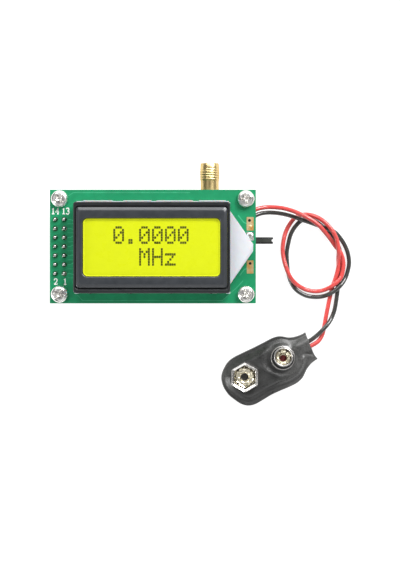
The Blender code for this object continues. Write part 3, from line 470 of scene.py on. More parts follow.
BLACK_ROUTE = (
    (24.4, 5.6, 10.1), (26.6, 7.2, 10.1), (29.6, 9.5, 9.6), (32.4, 10.3, 8.4), (35.3, 10.4, 6.9),
    (38.3, 10.1, 5.0), (41.2, 9.5, 3.0), (43.5, 8.7, 2.3), (46.0, 7.9, 2.2), (48.7, 6.9, 2.1),
    (51.4, 6.0, 2.3), (53.6, 4.9, 2.1), (55.1, 3.4, 1.4), (56.6, 1.3, 0.7), (57.6, -1.2, 0.7),
    (58.0, -4.0, 0.7), (57.6, -6.6, 0.7), (56.7, -9.0, 1.1), (55.3, -10.9, 2.1), (53.5, -12.5, 2.3),
    (51.7, -13.6, 2.0), (49.7, -14.3, 1.1), (47.3, -14.4, 0.7), (44.8, -13.9, 0.7), (42.2, -12.3, 0.7),
    (40.6, -10.0, 0.7), (39.7, -7.0, 0.7), (39.4, -4.0, 0.7), (39.3, -1.2, 0.7), (39.8, 1.8, 0.7),
    (40.6, 4.6, 0.7), (42.0, 6.9, 0.7), (43.8, 8.5, 0.7), (46.4, 8.9, 0.7), (49.1, 7.9, 0.7),
    (51.6, 5.7, 0.7), (53.7, 3.0, 0.7), (55.0, 0.2, 0.7), (55.4, -2.6, 0.7), (55.4, -5.2, 0.7),
    (55.1, -8.1, 0.7), (54.7, -10.8, 0.7), (54.4, -13.7, 0.7), (53.7, -18.0, 0.7), (52.7, -20.7, 1.0),
    (51.4, -22.6, 1.9), (49.7, -24.4, 2.4), (47.8, -26.2, 2.0), (45.7, -27.7, 1.7), (42.1, -29.5, 1.7),
)  # fmt: skip
LEAD_R = 0.65


def smooth_curve(points, steps=8):
    """Points of the smooth curve through a route."""
    route = [Vector(p) for p in points]
    ends = [2 * route[0] - route[1], *route, 2 * route[-1] - route[-2]]
    found = [route[0]]
    for a, b, c, d in zip(ends, ends[1:], ends[2:], ends[3:], strict=False):
        for i in range(1, steps + 1):
            t = i / steps
            square, cube = 2 * a - 5 * b + 4 * c - d, 3 * b - a - 3 * c + d
            found.append(0.5 * (2 * b + (c - a) * t + square * t**2 + cube * t**3))
    return found


def make_lead(name, route, look, node_name):
    """A vinyl-covered lead along its route, a free cord from the power socket to the battery clip."""
    points = [TO_ROW @ p for p in smooth_curve(route)]
    curve = bpy.data.curves.new(name, "CURVE")
    curve.dimensions = "3D"
    curve.bevel_depth = LEAD_R * MM
    curve.bevel_resolution = 6
    curve.use_fill_caps = True
    spline = curve.splines.new("POLY")
    spline.points.add(len(points) - 1)
    for point, place in zip(spline.points, points, strict=True):
        point.co = (*place, 1.0)
    spline.use_smooth = True
    curve.materials.append(LOOK[look])
    lead = bpy.data.objects.new(name, curve)
    bpy.context.scene.collection.objects.link(lead)
    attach(lead, "counter")
    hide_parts(node_name)


make_camera()
make_light()
LOOK = make_materials()
random.seed(11)


# ---------------------------------------------------------------- fasteners
RECESS_HALF, RECESS_REACH = 0.34, 1.42
RECESS_TURNS = (-0.785, -0.6, -0.42, -0.3, -0.235, -0.15, 0.0, 0.15, 0.235, 0.3, 0.42, 0.6)
RECESS_DEPTHS = ((0.1, 0.35), (0.45, 0.6), (0.8, 0.95), (0.97, 1.5), (1.06, 1.68))
SCREW_HEAD = (
    (1.55, 1.62), (1.75, 1.57), (1.95, 1.48), (2.12, 1.35), (2.26, 1.15), (2.35, 0.9), (2.39, 0.6),
    (2.39, 0.25), (2.34, 0.07), (2.24, 0.0), (1.2, 0.0),
)  # fmt: skip
SCREW_TURNS = (38.0, 8.0, 62.0, 25.0)
HEAD_H = 1.8


def cross_loop(scale, z):
    """The outline of a cross recess, a little round at its corners."""
    loop = []
    for quarter in range(4):
        for turn in RECESS_TURNS:
            radius = RECESS_REACH / math.cos(turn) if abs(turn) < 0.236 else RECESS_HALF / abs(math.sin(turn))
            a = quarter * math.pi / 2 + turn
            loop.append((scale * radius * math.cos(a), scale * radius * math.sin(a), z))
    return loop


def spread_cross(radius, z):
    """The recess's points moved out to a circle."""
    return [(*(Vector(p).normalized() * radius).to_2d(), z) for p in cross_loop(1.0, 0.0)]


def make_screws():
    """Pan heads with a cross recess, each turned as it was tightened."""
    for i, (hole, turn) in enumerate(zip(HOLES, SCREW_TURNS, strict=True), 1):
        low, high = cad(f"lcd_screw_{i}")
        seat = high.z - HEAD_H
        loops = [cross_loop(scale, seat + z) for scale, z in RECESS_DEPTHS]
        loops += [spread_cross(radius, seat + z) for radius, z in SCREW_HEAD]
        loops += [spread_cross(1.2, low.z + 0.3), spread_cross(0.9, low.z)]
        bm = bmesh.new()
        skin(bm, loops, turn_z(*hole, turn))
        piece(f"display_screw_{i}", bm, "screw", "nickel", replaces=[f"lcd_screw_{i}"], sharp=50.0)


POST_AF = 4.48
POST_CHAMFER = ((2.15, 0.0), (2.3, 0.1), (2.7, 0.3))  # corners' radius, distance from the end


def hex_row(z, across, limit, sides=48):
    """A hexagon with points at +X and -X, its corners turned down to the radius limit."""
    loop = []
    for i in range(sides):
        a = 2 * math.pi * i / sides
        radius = min(across / 2 / math.cos((a % (math.pi / 3)) - math.pi / 6), limit)
        loop.append((radius * math.cos(a), radius * math.sin(a), z))
    return loop


def make_posts():
    """Hexagonal spacers between the boards and standoffs below, their corners chamfered on a lathe."""
    for kind, name in (("board_spacer", "spacer"), ("rear_standoff", "foot")):
        for i, hole in enumerate(HOLES, 1):
            low, high = (corner.z for corner in cad(f"{kind}_{i}"))
            if name == "spacer":
                top = high
                upper = ((1.1, top - 2.0), (1.1, top - 0.2), (1.3, top))
            else:
                top = MAIN_LOW - SEAT
                upper = ((0.9, high), (1.15, high - 0.3), (1.15, top))
            loops = rings(upper, 48)
            loops += [hex_row(top - step, POST_AF, limit) for limit, step in POST_CHAMFER]
            loops += [hex_row(low + step, POST_AF, limit) for limit, step in POST_CHAMFER[::-1]]
            thread = [(1.25 if step % 2 else 1.05, low + 0.25 + 0.225 * step) for step in range(16)]
            loops += rings([(1.3, low), *thread, (0.9, low + 4.2)], 48)
            bm = bmesh.new()
            skin(bm, loops, turn_z(*hole))
            piece(f"{name}_{i}", bm, "steel", "nickel", replaces=[f"{kind}_{i}"])


# ---------------------------------------------------------------- display
GLYPHS = {
    "0": ("01110", "10001", "10011", "10101", "11001", "10001", "01110"),
    ".": ("00000", "00000", "00000", "00000", "00000", "01100", "01100"),
    "M": ("10001", "11011", "10101", "10101", "10001", "10001", "10001"),
    "H": ("10001", "10001", "10001", "11111", "10001", "10001", "10001"),
    "z": ("00000", "00000", "11111", "00010", "00100", "01000", "11111"),
}
READING = ((" 0.0000 ", 2.89), ("   MHz  ", -3.11))
CELL, DOT = 3.55, (0.6, 0.7)
CELL_MIDDLE = 3.5  # column of the display's middle, counted in cells
WINDOW_X, WINDOW_Y, WINDOW_R = 18.95, 8.05, 1.35
FRONT_GLASS_HALF = 10.1


def window(grow, steps, radius=None):
    """The display's window, grown all round."""
    return rounded(WINDOW_X + grow, WINDOW_Y + grow, radius or WINDOW_R + grow, steps, y=LCD_Y)


def reading_dots():
    """The middles of the dark dots of the reading."""
    for text, row_y in READING:
        for cell, letter in enumerate(text):
            for row, line in enumerate(GLYPHS.get(letter, ())):
                for column, dot in enumerate(line):
                    if dot == "1":
                        x = CELL * (cell - CELL_MIDDLE) - 0.2 + (column - 2) * DOT[0]
                        yield x, row_y - (row - 3) * DOT[1]


def make_display():
    """Two sheets of glass, a black ring of painted shadow round the lit field, its bright rim, and the reading's
    dots.
    """
    low, high = cad("lcd_glass")
    top, mid = high.z, (low.z + high.z) / 2
    bm = bmesh.new()
    block(bm, low, (high.x, high.y, mid), 0.12)
    block(bm, (low.x, LCD_Y - FRONT_GLASS_HALF, mid + 0.02), (high.x, LCD_Y + FRONT_GLASS_HALF, top), 0.1)
    piece("display_glass", bm, "lit", "glass", replaces=["lcd_glass"])
    # A black ring where the bezel's window edge throws its shadow onto the lit field: painted shadow
    bm = bmesh.new()
    washer(bm, window(0.5, 8, WINDOW_R), window(-0.12, 8, WINDOW_R - 0.1), top + 0.02, top + 0.05)
    piece("display_window_shadow", bm, "shadow_black", "glass")
    bm = bmesh.new()
    washer(bm, window(-0.1, 8), window(-0.4, 8, WINDOW_R - 0.3), top + 0.01, top + 0.03)
    piece("display_rim", bm, "lit_rim", "glass")
    bm = bmesh.new()
    for x, y in reading_dots():
        skin(bm, [level(rounded(0.265, 0.315, 0.05, 1, x, y), top + z) for z in (0.005, 0.03)])
    piece("display_dots", bm, "ink", "glass")


TAB_XS = (-17.0, -5.7, 5.7, 17.0)
# Sections of the bezel from outside to inside: inset in x, inset in y, corner radius, height over the front
SKIRT = (
    (0.03, 0.03, 0.68, -0.96), (0.12, 0.12, 0.65, -0.88), (0.3, 0.3, 0.6, -0.86),
    (0.46, 0.85, 0.6, -0.86), (0.52, 0.95, 0.8, -0.9), (0.66, 1.3, 0.8, -1.08), (0.68, 1.34, 0.8, -1.35),
    (0.9, 1.6, 0.8, -1.36),
)  # fmt: skip
PLATE = (
    (0.78, 1.45, 0.8, -1.35), (0.82, 1.5, 0.82, -0.6), (0.88, 1.56, 0.85, -0.38),
    (0.97, 1.64, 0.88, -0.33), (1.34, 2.25, 0.95, -0.08), (1.5, 2.45, 1.0, -0.01), (1.7, 2.6, 1.0, 0.0),
)  # fmt: skip
# Its edge round the window: growth, height over the front
WINDOW_EDGE = ((0.3, 0.0), (0.1, -0.05), (0.0, -0.2), (0.0, -0.5), (0.4, -0.55))


def make_bezel():
    """A pressed frame: a skirt with a flat shoulder, a groove, and the raised plate round the window."""
    low, high = cad("lcd_bezel")
    foot, top = LCD_TOP + 3.3, high.z
    _, y, half_x, half_y = middle("lcd_bezel")

    def section(rows):
        return [level(rounded(half_x - a, half_y - b, radius, 6, y=y), z) for a, b, radius, z in rows]

    bm = bmesh.new()
    wall = ((0.9, 1.6, 0.5, foot), (0.5, 0.5, 0.5, foot), (0.0, 0.0, 0.7, foot), (0.0, 0.0, 0.7, top - 1.1))
    skin(bm, section([*wall, *((a, b, radius, top + z) for a, b, radius, z in SKIRT)]), closed=True)
    for x in TAB_XS:
        for side in (-1, 1):
            edge = y + side * (half_y - 0.25)
            block(bm, (x - 0.8, edge - 0.2, low.z + 1.0), (x + 0.8, edge + 0.2, foot + 0.5), 0.06)
            block(bm, (-0.8, -0.22, low.z), (0.8, 0.22, low.z + 1.1), 0.06, turn_z(x, edge, 24))
    # The skirt wears the darker copy of the bezel's paint: painted shade
    piece("bezel_skirt", bm, "shade", "bezel", sharp=60.0)
    loops = section([(a, b, radius, top + z) for a, b, radius, z in PLATE])
    loops += [level(window(grow, 6), top + z) for grow, z in WINDOW_EDGE]
    loops += section([(1.3, 2.8, 0.5, top - 0.52)])
    bm = bmesh.new()
    skin(bm, loops, closed=True)
    piece("bezel_plate", bm, "bezel", "bezel", replaces=["lcd_bezel"], sharp=60.0)


def make_tray():
    """The backlight's white tray, its light wedge to the right, and the corners that show round the bezel."""
    low, high = cad("backlight_tray")
    _, y, _, half_y = middle("backlight_tray")
    half_x, wall = 21.4, LCD_TOP + 3.15
    bm = bmesh.new()
    block(bm, (-half_x, y - half_y, low.z), (half_x, LCD_Y + 12.5, wall), 0.2)
    block(bm, (-half_x, LCD_Y + 12.4, low.z), (half_x, y + half_y, low.z + 0.6), 0.1)
    for start, end in ((-19.3, -11.2), (-8.1, -0.3), (1.1, 11.3), (13.0, 20.5)):
        block(bm, (start, y + half_y - 0.36, low.z + 0.3), (end, y + half_y, wall), 0.06)
    block(bm, (-20.7, LCD_Y - 11.9, wall - 0.1), (20.7, LCD_Y + 11.9, high.z), 0.15)
    for sx, sy in CORNERS:
        x, edge = 21.2 * sx, LCD_Y + 12.25 * sy
        block(bm, (x - 0.5, edge - 0.5, low.z), (x + 0.5, edge + 0.5, wall + 0.1), 0.1)
    outline = ((21.0, -11.6), (28.1, -1.4), (28.1, 0.6), (21.0, 10.8))
    rows = ((0.12, low.z), (0.0, low.z + 0.12), (0.0, wall - 0.25), (0.06, wall - 0.1), (0.2, wall - 0.02))
    skin(bm, drawn_in(outline, (23.6, -0.4), rows))
    piece("light_tray", bm, "white", "white_plastic", replaces=["backlight_tray"])
    dress("lit", "light_panel", "backlight_led")
    dress("rubber", "zebra_strip_upper", "zebra_strip_lower")
    dress("epoxy", "driver_blob_left", "driver_blob_right")


# ---------------------------------------------------------------- display board
STROKES = {
    "1": ([(0.28, 0.78), (0.55, 1.0), (0.55, 0.0)], [(0.22, 0.05), (0.88, 0.05)]),
    "2": ([(0.12, 0.72), (0.25, 0.93), (0.55, 1.0), (0.82, 0.88), (0.86, 0.66), (0.68, 0.42), (0.12, 0.07)],
          [(0.1, 0.07), (0.9, 0.07), (0.9, 0.2)]),
    "3": ([(0.14, 0.82), (0.32, 0.98), (0.66, 0.98), (0.82, 0.78), (0.7, 0.57), (0.42, 0.52)],
          [(0.42, 0.52), (0.76, 0.46), (0.88, 0.25), (0.7, 0.03), (0.32, 0.0), (0.12, 0.18)]),
    "4": ([(0.66, 0.0), (0.66, 1.0), (0.08, 0.32), (0.92, 0.32)], [(0.46, 0.05), (0.88, 0.05)]),
}  # fmt: skip
NUMERALS = (("14", -27.45, 9.1), ("13", -24.5, 9.1), ("2", -27.3, -10.75), ("1", -24.7, -10.75))
NUMERAL_H = 1.75


def write(bm, text, x, y, z):
    """Numerals in white ink, centred at x and standing on y; each stroke lies on the one before."""
    step = NUMERAL_H * 0.68
    for i, figure in enumerate(text):
        left = x + (i - len(text) / 2) * step
        for layer, stroke in enumerate(STROKES[figure]):
            points = [(left + px * step * 0.92, y + py * NUMERAL_H) for px, py in stroke]
            strip(bm, points, 0.31, z, 0.02 + 0.01 * layer)


def fillet(bm, x, y, z, foot, neck, height, up=1):
    """A domed cone of solder round a pin, a little different each time."""
    lean = [random.uniform(-0.08, 0.08) for _ in range(2)]
    size = random.uniform(0.88, 1.1)
    rows = ((1.0, 0.0), (0.98, 0.12), (0.74, 0.3), (0.52, 0.6), (0.42, 0.88), (0.3, 1.0))
    loops = []
    for i, (share, rise) in enumerate(rows):
        radius = (neck + (foot - neck) * (share - 0.3) / 0.7) * (1.0 if i < 2 else size)
        shift = (x + lean[0] * rise, y + lean[1] * rise)
        loops.append(level(circle(radius, 20, *shift), z + up * height * size * rise))
    skin(bm, loops)


def pad(bm, low, high, z, hole=None, thick=0.05):
    """A bare copper pad, with a plated hole through it where hole is (x, y, radius)."""
    (x0, y0), (x1, y1) = low, high
    edge = rounded((x1 - x0) / 2, (y1 - y0) / 2, 0.12, 5, (x0 + x1) / 2, (y0 + y1) / 2)
    if hole:
        x, y, radius = hole
        washer(bm, edge, circle(radius, len(edge), x, y), z + 0.01, z + thick)
    else:
        skin(bm, [level(edge, z + 0.01), level(edge, z + thick)])


# Traces of the display board: route, width and thickness
BOARD_TRACES = (
    (((-22.4, -12.4), (-19.8, -15.2), (19.6, -15.2), (23.8, -11.4), (25.4, -9.6)), 0.22, 0.035),
    (((-25.6, 13.0), (-22.4, 15.2), (10.5, 15.2)), 0.22, 0.035),
    (((24.0, 8.8), (25.6, 6.8), (26.6, 6.4)), 0.3, 0.03),
    (((24.4, -8.2), (25.8, -6.4), (26.6, -6.2)), 0.3, 0.03),
)
UPPER_HOLE, LOWER_HOLE = (27.2, 7.35), (27.4, -4.75)
SPOT_X = 27.35  # the two domes of solder by the right edge


def make_display_board():
    """What is printed, plated and soldered on the display board's face."""
    dress("mask", "lcd_board", "main_board")
    top = LCD_TOP
    bm = bmesh.new()
    for y in PIN_ROWS:
        rise = 0.4 * random.choice((-0.5, 0.4, 0.9))
        strip(bm, [(-24.0, y), (-23.2, y), (-22.7, y + rise), (-21.2, y + rise)], 0.2, top, 0.035)
        strip(bm, [(-24.0, y - 1.2), (-21.2, y - 1.2)], 0.16, top, 0.03)
    for route, width, thick in BOARD_TRACES:
        strip(bm, route, width, top, thick)
    piece("display_board_traces", bm, "trace", "board")
    bm = bmesh.new()
    for text, x, y in NUMERALS:
        write(bm, text, x, y, top)
    piece("pin_numerals", bm, "silk", "board")
    bm = bmesh.new()
    pad(bm, (26.4, 4.5), (28.4, 8.3), top, (*UPPER_HOLE, 0.42))
    pad(bm, (26.45, -7.6), (28.35, -3.9), top, (*LOWER_HOLE, 0.4))
    for x, y in HOLES:
        washer(bm, circle(2.3, 40, x, y), circle(1.3, 40, x, y), top + 0.01, top + 0.04)
    lathe(bm, ((0.68, 0.03), (0.6, 0.09), (0.4, 0.14), (0.1, 0.15)), 20, turn_z(SPOT_X, 5.45, z=top))
    piece("gilt_pads", bm, "pad", "gold")
    bm = bmesh.new()
    pad(bm, (26.4, 1.7), (28.4, 4.1), top)
    dome = ((0.98, 0.03), (0.9, 0.09), (0.68, 0.15), (0.4, 0.19), (0.1, 0.2))
    lathe(bm, dome, 20, turn_z(SPOT_X, 3.0, z=top))
    piece("display_board_solder", bm, "tin", "nickel")
    # The pins' solder uses the dark greenish metal: painted shade round each pin
    bm = bmesh.new()
    for x, y in PINS:
        fillet(bm, x, y, top, 0.74, 0.4, 0.95)
    piece("pin_solder", bm, "solder_shade", "nickel")
    # Black discs in the two plated holes: painted shade standing for the holes' depths
    bm = bmesh.new()
    for x, y in (UPPER_HOLE, LOWER_HOLE):
        skin(bm, rings(((0.46, top + 0.005), (0.46, top + 0.02)), 16, x, y))
    piece("plated_hole_shade", bm, "shadow_black", "board")


def make_header():
    """A two-row pin header pushed into its socket strip between the boards."""
    low = cad("pin_header")[0].z
    bottom, top = cad("header_socket")[1].z + SEAT, LCD_LOW - SEAT
    x = sum(PIN_COLUMNS) / 2
    bm = bmesh.new()
    for y in PIN_ROWS:
        block(bm, (x - 2.44, y - 1.24, bottom), (x + 2.44, y + 1.24, top), 0.3)
    piece("header_body", bm, "black", "black_plastic", replaces=["pin_header"])
    tip = LCD_TOP + 1.18
    rows = ((0.14, low), (0.32, low + 0.5), (0.32, tip - 0.13), (0.24, tip - 0.04), (0.05, tip))
    bm = bmesh.new()
    for px, py in PINS:
        skin(bm, [level(rounded(half, half, 0.06, 1, px, py), z) for half, z in rows])
    piece("header_pins", bm, "steel", "nickel")
    dress("black", "header_socket")
    bm = bmesh.new()
    for px, py in PINS:
        fillet(bm, px, py, MAIN_LOW, 0.8, 0.3, 0.8, up=-1)
    piece("socket_solder", bm, "tin", "nickel")


# ---------------------------------------------------------------- coaxial jack
JACK_X = 16.1
JACK_FACE = 16.0
JACK_HALF = 3.15
JACK_SIDES = 72
JACK_LEGS = [(JACK_X + 2.54 * side, y) for side in (-1, 1) for y in (JACK_FACE - 5.7, JACK_FACE - 0.7)]
THREAD_PITCH = 25.4 / 36
THREAD_ROOT, THREAD_DEPTH = 2.68, 0.15
SOCKET_DEPTH = 1.9


def thread_loops(start, end, count=80):
    """A helical ridge between two distances along the barrel, faded out at both ends."""
    loops = []
    for i in range(count + 1):
        h = start + (end - start) * i / count
        fade = min(1.0, 3.0 * i / count, 6.0 * (count - i) / count)
        loop = []
        for k in range(JACK_SIDES):
            a = 2 * math.pi * k / JACK_SIDES
            wave = abs(((h / THREAD_PITCH + k / JACK_SIDES) % 1.0) - 0.5) * 2
            radius = THREAD_ROOT + fade * THREAD_DEPTH * min(max((wave - 0.1) / 0.8, 0.0), 1.0)
            loop.append((radius * math.cos(a), radius * math.sin(a), h))
        loops.append(loop)
    return loops


def make_jack():
    """A right-angle jack: block on four legs, threaded barrel, white dielectric and slotted contact."""
    low, high = cad("sma_shell")
    z = MAIN_TOP + SEAT + JACK_HALF
    length = high.y - JACK_FACE
    face = length - SOCKET_DEPTH
    place = Matrix.Translation((JACK_X, JACK_FACE, z)) @ Matrix.Rotation(math.radians(-90), 4, "X")
    thread_start, thread_end = length - 1.2, length - 4.9
    mouth = (
        (1.95, -4.0), (1.95, face), (2.28, face + 0.05), (2.3, length - 0.12), (2.4, length),
        (2.52, length), (2.64, length - 0.14),
    )  # fmt: skip
    barrel = ((2.62, thread_end - 0.1), (2.6, thread_end - 0.3), (2.6, -0.6), (1.95, -0.7))
    loops = rings(mouth, JACK_SIDES) + thread_loops(thread_start, thread_end) + rings(barrel, JACK_SIDES)
    bm = bmesh.new()
    skin(bm, loops, place, closed=True)
    block(
        bm,
        (JACK_X - JACK_HALF, low.y, z - JACK_HALF),
        (JACK_X + JACK_HALF, JACK_FACE - 0.1, z + JACK_HALF),
        0.18,
    )
    for x, y in JACK_LEGS:
        block(bm, (x - 0.38, y - 0.38, low.z), (x + 0.38, y + 0.38, z - 3.0), 0.1)
    piece("coaxial_jack", bm, "gold", "gold", replaces=["sma_shell"], sharp=40.0)
    bm = bmesh.new()
    lathe(bm, [(1.9, face + 0.02), (1.9, -3.0), (0.66, -3.0), (0.66, face + 0.02)], 48, place, closed=True)
    piece("jack_dielectric", bm, "teflon", "ptfe", replaces=["sma_insulator"])
    finger = ((0.36, -2.0), (0.36, 0.1), (0.42, 0.16), (0.56, 0.16), (0.63, 0.06), (0.63, -2.0))
    bm = bmesh.new()
    for quarter in range(4):
        loops = []
        for i in range(7):
            a = math.radians(90 * quarter + 6 + 78 * i / 6)
            loops.append([(radius * math.cos(a), radius * math.sin(a), face + h) for radius, h in finger])
        skin(bm, loops, place)
    lathe(bm, [(0.63, face - 2.0), (0.63, -4.5)], 24, place)
    piece("jack_contact", bm, "gold", "gold", replaces=["sma_contact"])
    bm = bmesh.new()
    for x, y in JACK_LEGS:
        fillet(bm, x, y, MAIN_LOW, 1.15, 0.5, 0.8, up=-1)
    piece("jack_solder", bm, "tin", "nickel")


# ---------------------------------------------------------------- power connector and slide switch
def along_x(y, z):
    """Turns a shape drawn about z so that it runs along +X instead."""
    turned = Matrix.Rotation(math.radians(90), 4, "Y") @ Matrix.Rotation(math.radians(90), 4, "Z")
    return Matrix.Translation((0, y, z)) @ turned


WIRE_Z = 10.1  # height of the leads where they leave the plug


def make_power_connector():
    """A friction-lock socket on the counter board, and the crimped plug on the leads."""
    low, high = cad("power_socket")
    _, y, _, half_y = middle("power_socket")
    z, half_z = (low.z + high.z) / 2, (high.z - low.z) / 2
    rows = (
        (0.15, low.x), (0.0, low.x + 0.15), (0.0, high.x - 0.1), (0.1, high.x), (0.42, high.x),
        (0.55, high.x - 0.12), (0.58, low.x + 1.55),
    )  # fmt: skip
    leg_x = low.x + 1.5
    bm = bmesh.new()
    skin(bm, frames(half_y, half_z, rows, 0.2, 3), along_x(y, z))
    for side in (-1, 1):
        edge = y + side * (half_y - 0.7)
        block(bm, (low.x + 0.8, edge - 0.3, high.z - 0.05), (high.x - 0.5, edge + 0.3, high.z + 0.28), 0.08)
        block(bm, (leg_x - 0.3, edge - 0.3, MAIN_LOW - 0.8), (leg_x + 0.3, edge + 0.3, low.z + 0.1), 0.08)
    piece("power_socket_housing", bm, "white", "white_plastic", replaces=["power_socket"])
    low, high = cad("power_plug")
    z, half_y = (low.z + high.z) / 2, (high.y - low.y) / 2
    bm = bmesh.new()
    block(bm, low, (high.x, high.y, z + 0.15), 0.15)
    block(bm, (high.x - 2.4, low.y, z + 0.1), high, 0.15)
    block(bm, (low.x, low.y, z + 0.1), (low.x + 1.2, high.y, high.z), 0.15)
    for share in (-1.0, 0.0, 1.0):
        rib = y + share * (half_y - 0.35)
        block(bm, (low.x + 0.6, rib - 0.33, z + 0.1), (high.x - 1.0, rib + 0.33, high.z), 0.08)
    collar = ((1.05, -0.3), (1.05, 0.1), (0.92, 0.45), (0.72, 0.5), (0.7, -0.3))
    wires = (y + 1.0, y - 1.0)
    for wire_y in wires:
        lathe(bm, [(radius, high.x + x) for radius, x in collar], 24, along_x(wire_y, WIRE_Z), closed=True)
    plug = piece("power_plug_housing", bm, "white", "white_plastic", replaces=["power_plug"])
    bm = bmesh.new()
    for wire_y in wires:
        block(bm, (low.x + 1.0, wire_y - 0.42, z + 0.2), (high.x - 2.2, wire_y + 0.42, high.z - 0.35), 0.1)
        block(bm, (low.x + 2.0, wire_y - 0.62, z + 0.2), (low.x + 3.0, wire_y + 0.62, high.z - 0.15), 0.1)
    crimps = piece("power_plug_contacts", bm, "tin", "nickel")
    bm = bmesh.new()
    for wire_y in wires:
        fillet(bm, leg_x, wire_y, MAIN_LOW, 0.9, 0.4, 0.9, up=-1)
    piece("power_socket_solder", bm, "tin", "nickel")
    return plug, crimps


LEVER_HALF = 0.96
LEVER_Z = 10.1


def make_slide_switch():
    """Sheet shell over a laminate base, and a lever whose tip has a V notch."""
    low, high = cad("power_switch_shell")
    x, y, _, half_y = middle("power_switch_shell")
    dress("can", "power_switch_shell")
    dress("phenolic", "power_switch_base")
    bm = bmesh.new()
    for sx, sy in CORNERS:
        tab_x, tab_y = x + sx * 1.1, y + sy * (half_y + 0.12)
        block(bm, (tab_x - 0.4, tab_y - 0.12, MAIN_LOW - 0.9), (tab_x + 0.4, tab_y + 0.12, low.z + 2.4), 0.06)
    stake = [(0.3, -0.05), (0.42, 0.02), (0.3, 0.12), (0.05, 0.14)]
    for step in (-2.5, 0.0, 2.5):
        fillet(bm, x, y + step, MAIN_LOW, 0.85, 0.35, 0.9, up=-1)
        lathe(bm, stake, 16, turn_z(27.4, y + step, z=high.z))
    piece("power_switch_tabs", bm, "can", "nickel")
    low, high = cad("power_switch_lever")
    y = (low.y + high.y) / 2
    tip, half = high.x, LEVER_HALF
    side = [(28.1, -half), (tip - 0.2, -half), (tip, -half + 0.2), (tip - 0.1, -0.42), (tip - 0.5, -0.2)]
    outline = side + [(px, -py) for px, py in reversed(side)]
    rows = ((0.12, -0.75), (0.0, -0.62), (0.0, 0.6), (0.06, 0.71), (0.16, 0.75))
    bm = bmesh.new()
    skin(bm, drawn_in(outline, (31.3, 0.0), rows), turn_z(0, y, z=LEVER_Z))
    block(bm, (low.x, y - 1.6, MAIN_TOP + 1.2), (29.0, y + 1.6, MAIN_TOP + 4.1), 0.1)
    lever = {"body": "switch_lever", "replaces": ["power_switch_lever"], "sharp": 40.0}
    piece("switch_lever", bm, "black", "black_plastic", **lever)
    bm = bmesh.new()
    block(bm, (29.2, y - 0.5, LEVER_Z + 0.7), (33.9, y + 0.5, LEVER_Z + 0.82), 0.05)
    piece("switch_lever_band", bm, "lever", "black_plastic", body="switch_lever")


# ---------------------------------------------------------------- keys and trimmer
def make_keys():
    """Square push keys: moulded base, steel cover with four heat-staked posts, and a round cap."""
    for side in ("left", "right"):
        low, high = cad(f"{side}_key_housing")
        x, y, _, _ = middle(f"{side}_key_housing")
        foot, top = low.z, high.z
        rows = ((0.12, top), (0.0, top - 0.12), (0.0, foot + 0.45), (0.1, foot + 0.35), (0.1, foot + 0.3))
        bm = bmesh.new()
        well = ((1.95, foot + 0.3), (1.9, top - 1.6))
        skin(bm, frames(3.0, 3.0, rows, 0.35, 5, x, y) + rings(well, 24, x, y))
        stake = [(0.45, 0.3), (0.45, 0.02), (0.3, -0.08), (0.08, -0.1)]
        for sx, sy in CORNERS:
            lathe(bm, stake, 16, turn_z(x + 2.2 * sx, y + 2.2 * sy, z=foot))
        piece(f"{side}_key_base", bm, "black", "black_plastic", replaces=[f"{side}_key_housing"])
        bm = bmesh.new()
        plate = ((2.95, foot + 0.32), (2.95, foot + 0.12), (2.88, foot + 0.05))
        loops = [level(rounded(half, half, 0.4, 5, x, y), z) for half, z in plate]
        loops += rings(((1.95, foot + 0.05), (1.85, foot + 0.12), (1.85, foot + 0.32)), 24, x, y)
        skin(bm, loops, closed=True)
        for sx, sy in CORNERS:
            leg_x, leg_y = x + 3.05 * sx, y + 2.25 * sy
            leg_high = (leg_x + 0.1, leg_y + 0.35, MAIN_TOP + 0.7)
            block(bm, (leg_x - 0.1, leg_y - 0.35, foot + 1.4), leg_high, 0.05)
        piece(f"{side}_key_cover", bm, "can", "nickel")
        low, high = cad(f"{side}_key_button")
        cap = [(1.68, high.z), (1.7, high.z - 0.1), (1.7, low.z + 0.3), (1.6, low.z + 0.1), (1.4, low.z)]
        cap += [(1.0, low.z + 0.03), (0.4, low.z + 0.05), (0.08, low.z + 0.05)]
        bm = bmesh.new()
        lathe(bm, cap, 40, turn_z(x, y))
        button = {"body": f"{side}_key", "replaces": [f"{side}_key_button"]}
        piece(f"{side}_key_cap", bm, "black", "black_plastic", **button)


ROTOR_R = 1.58


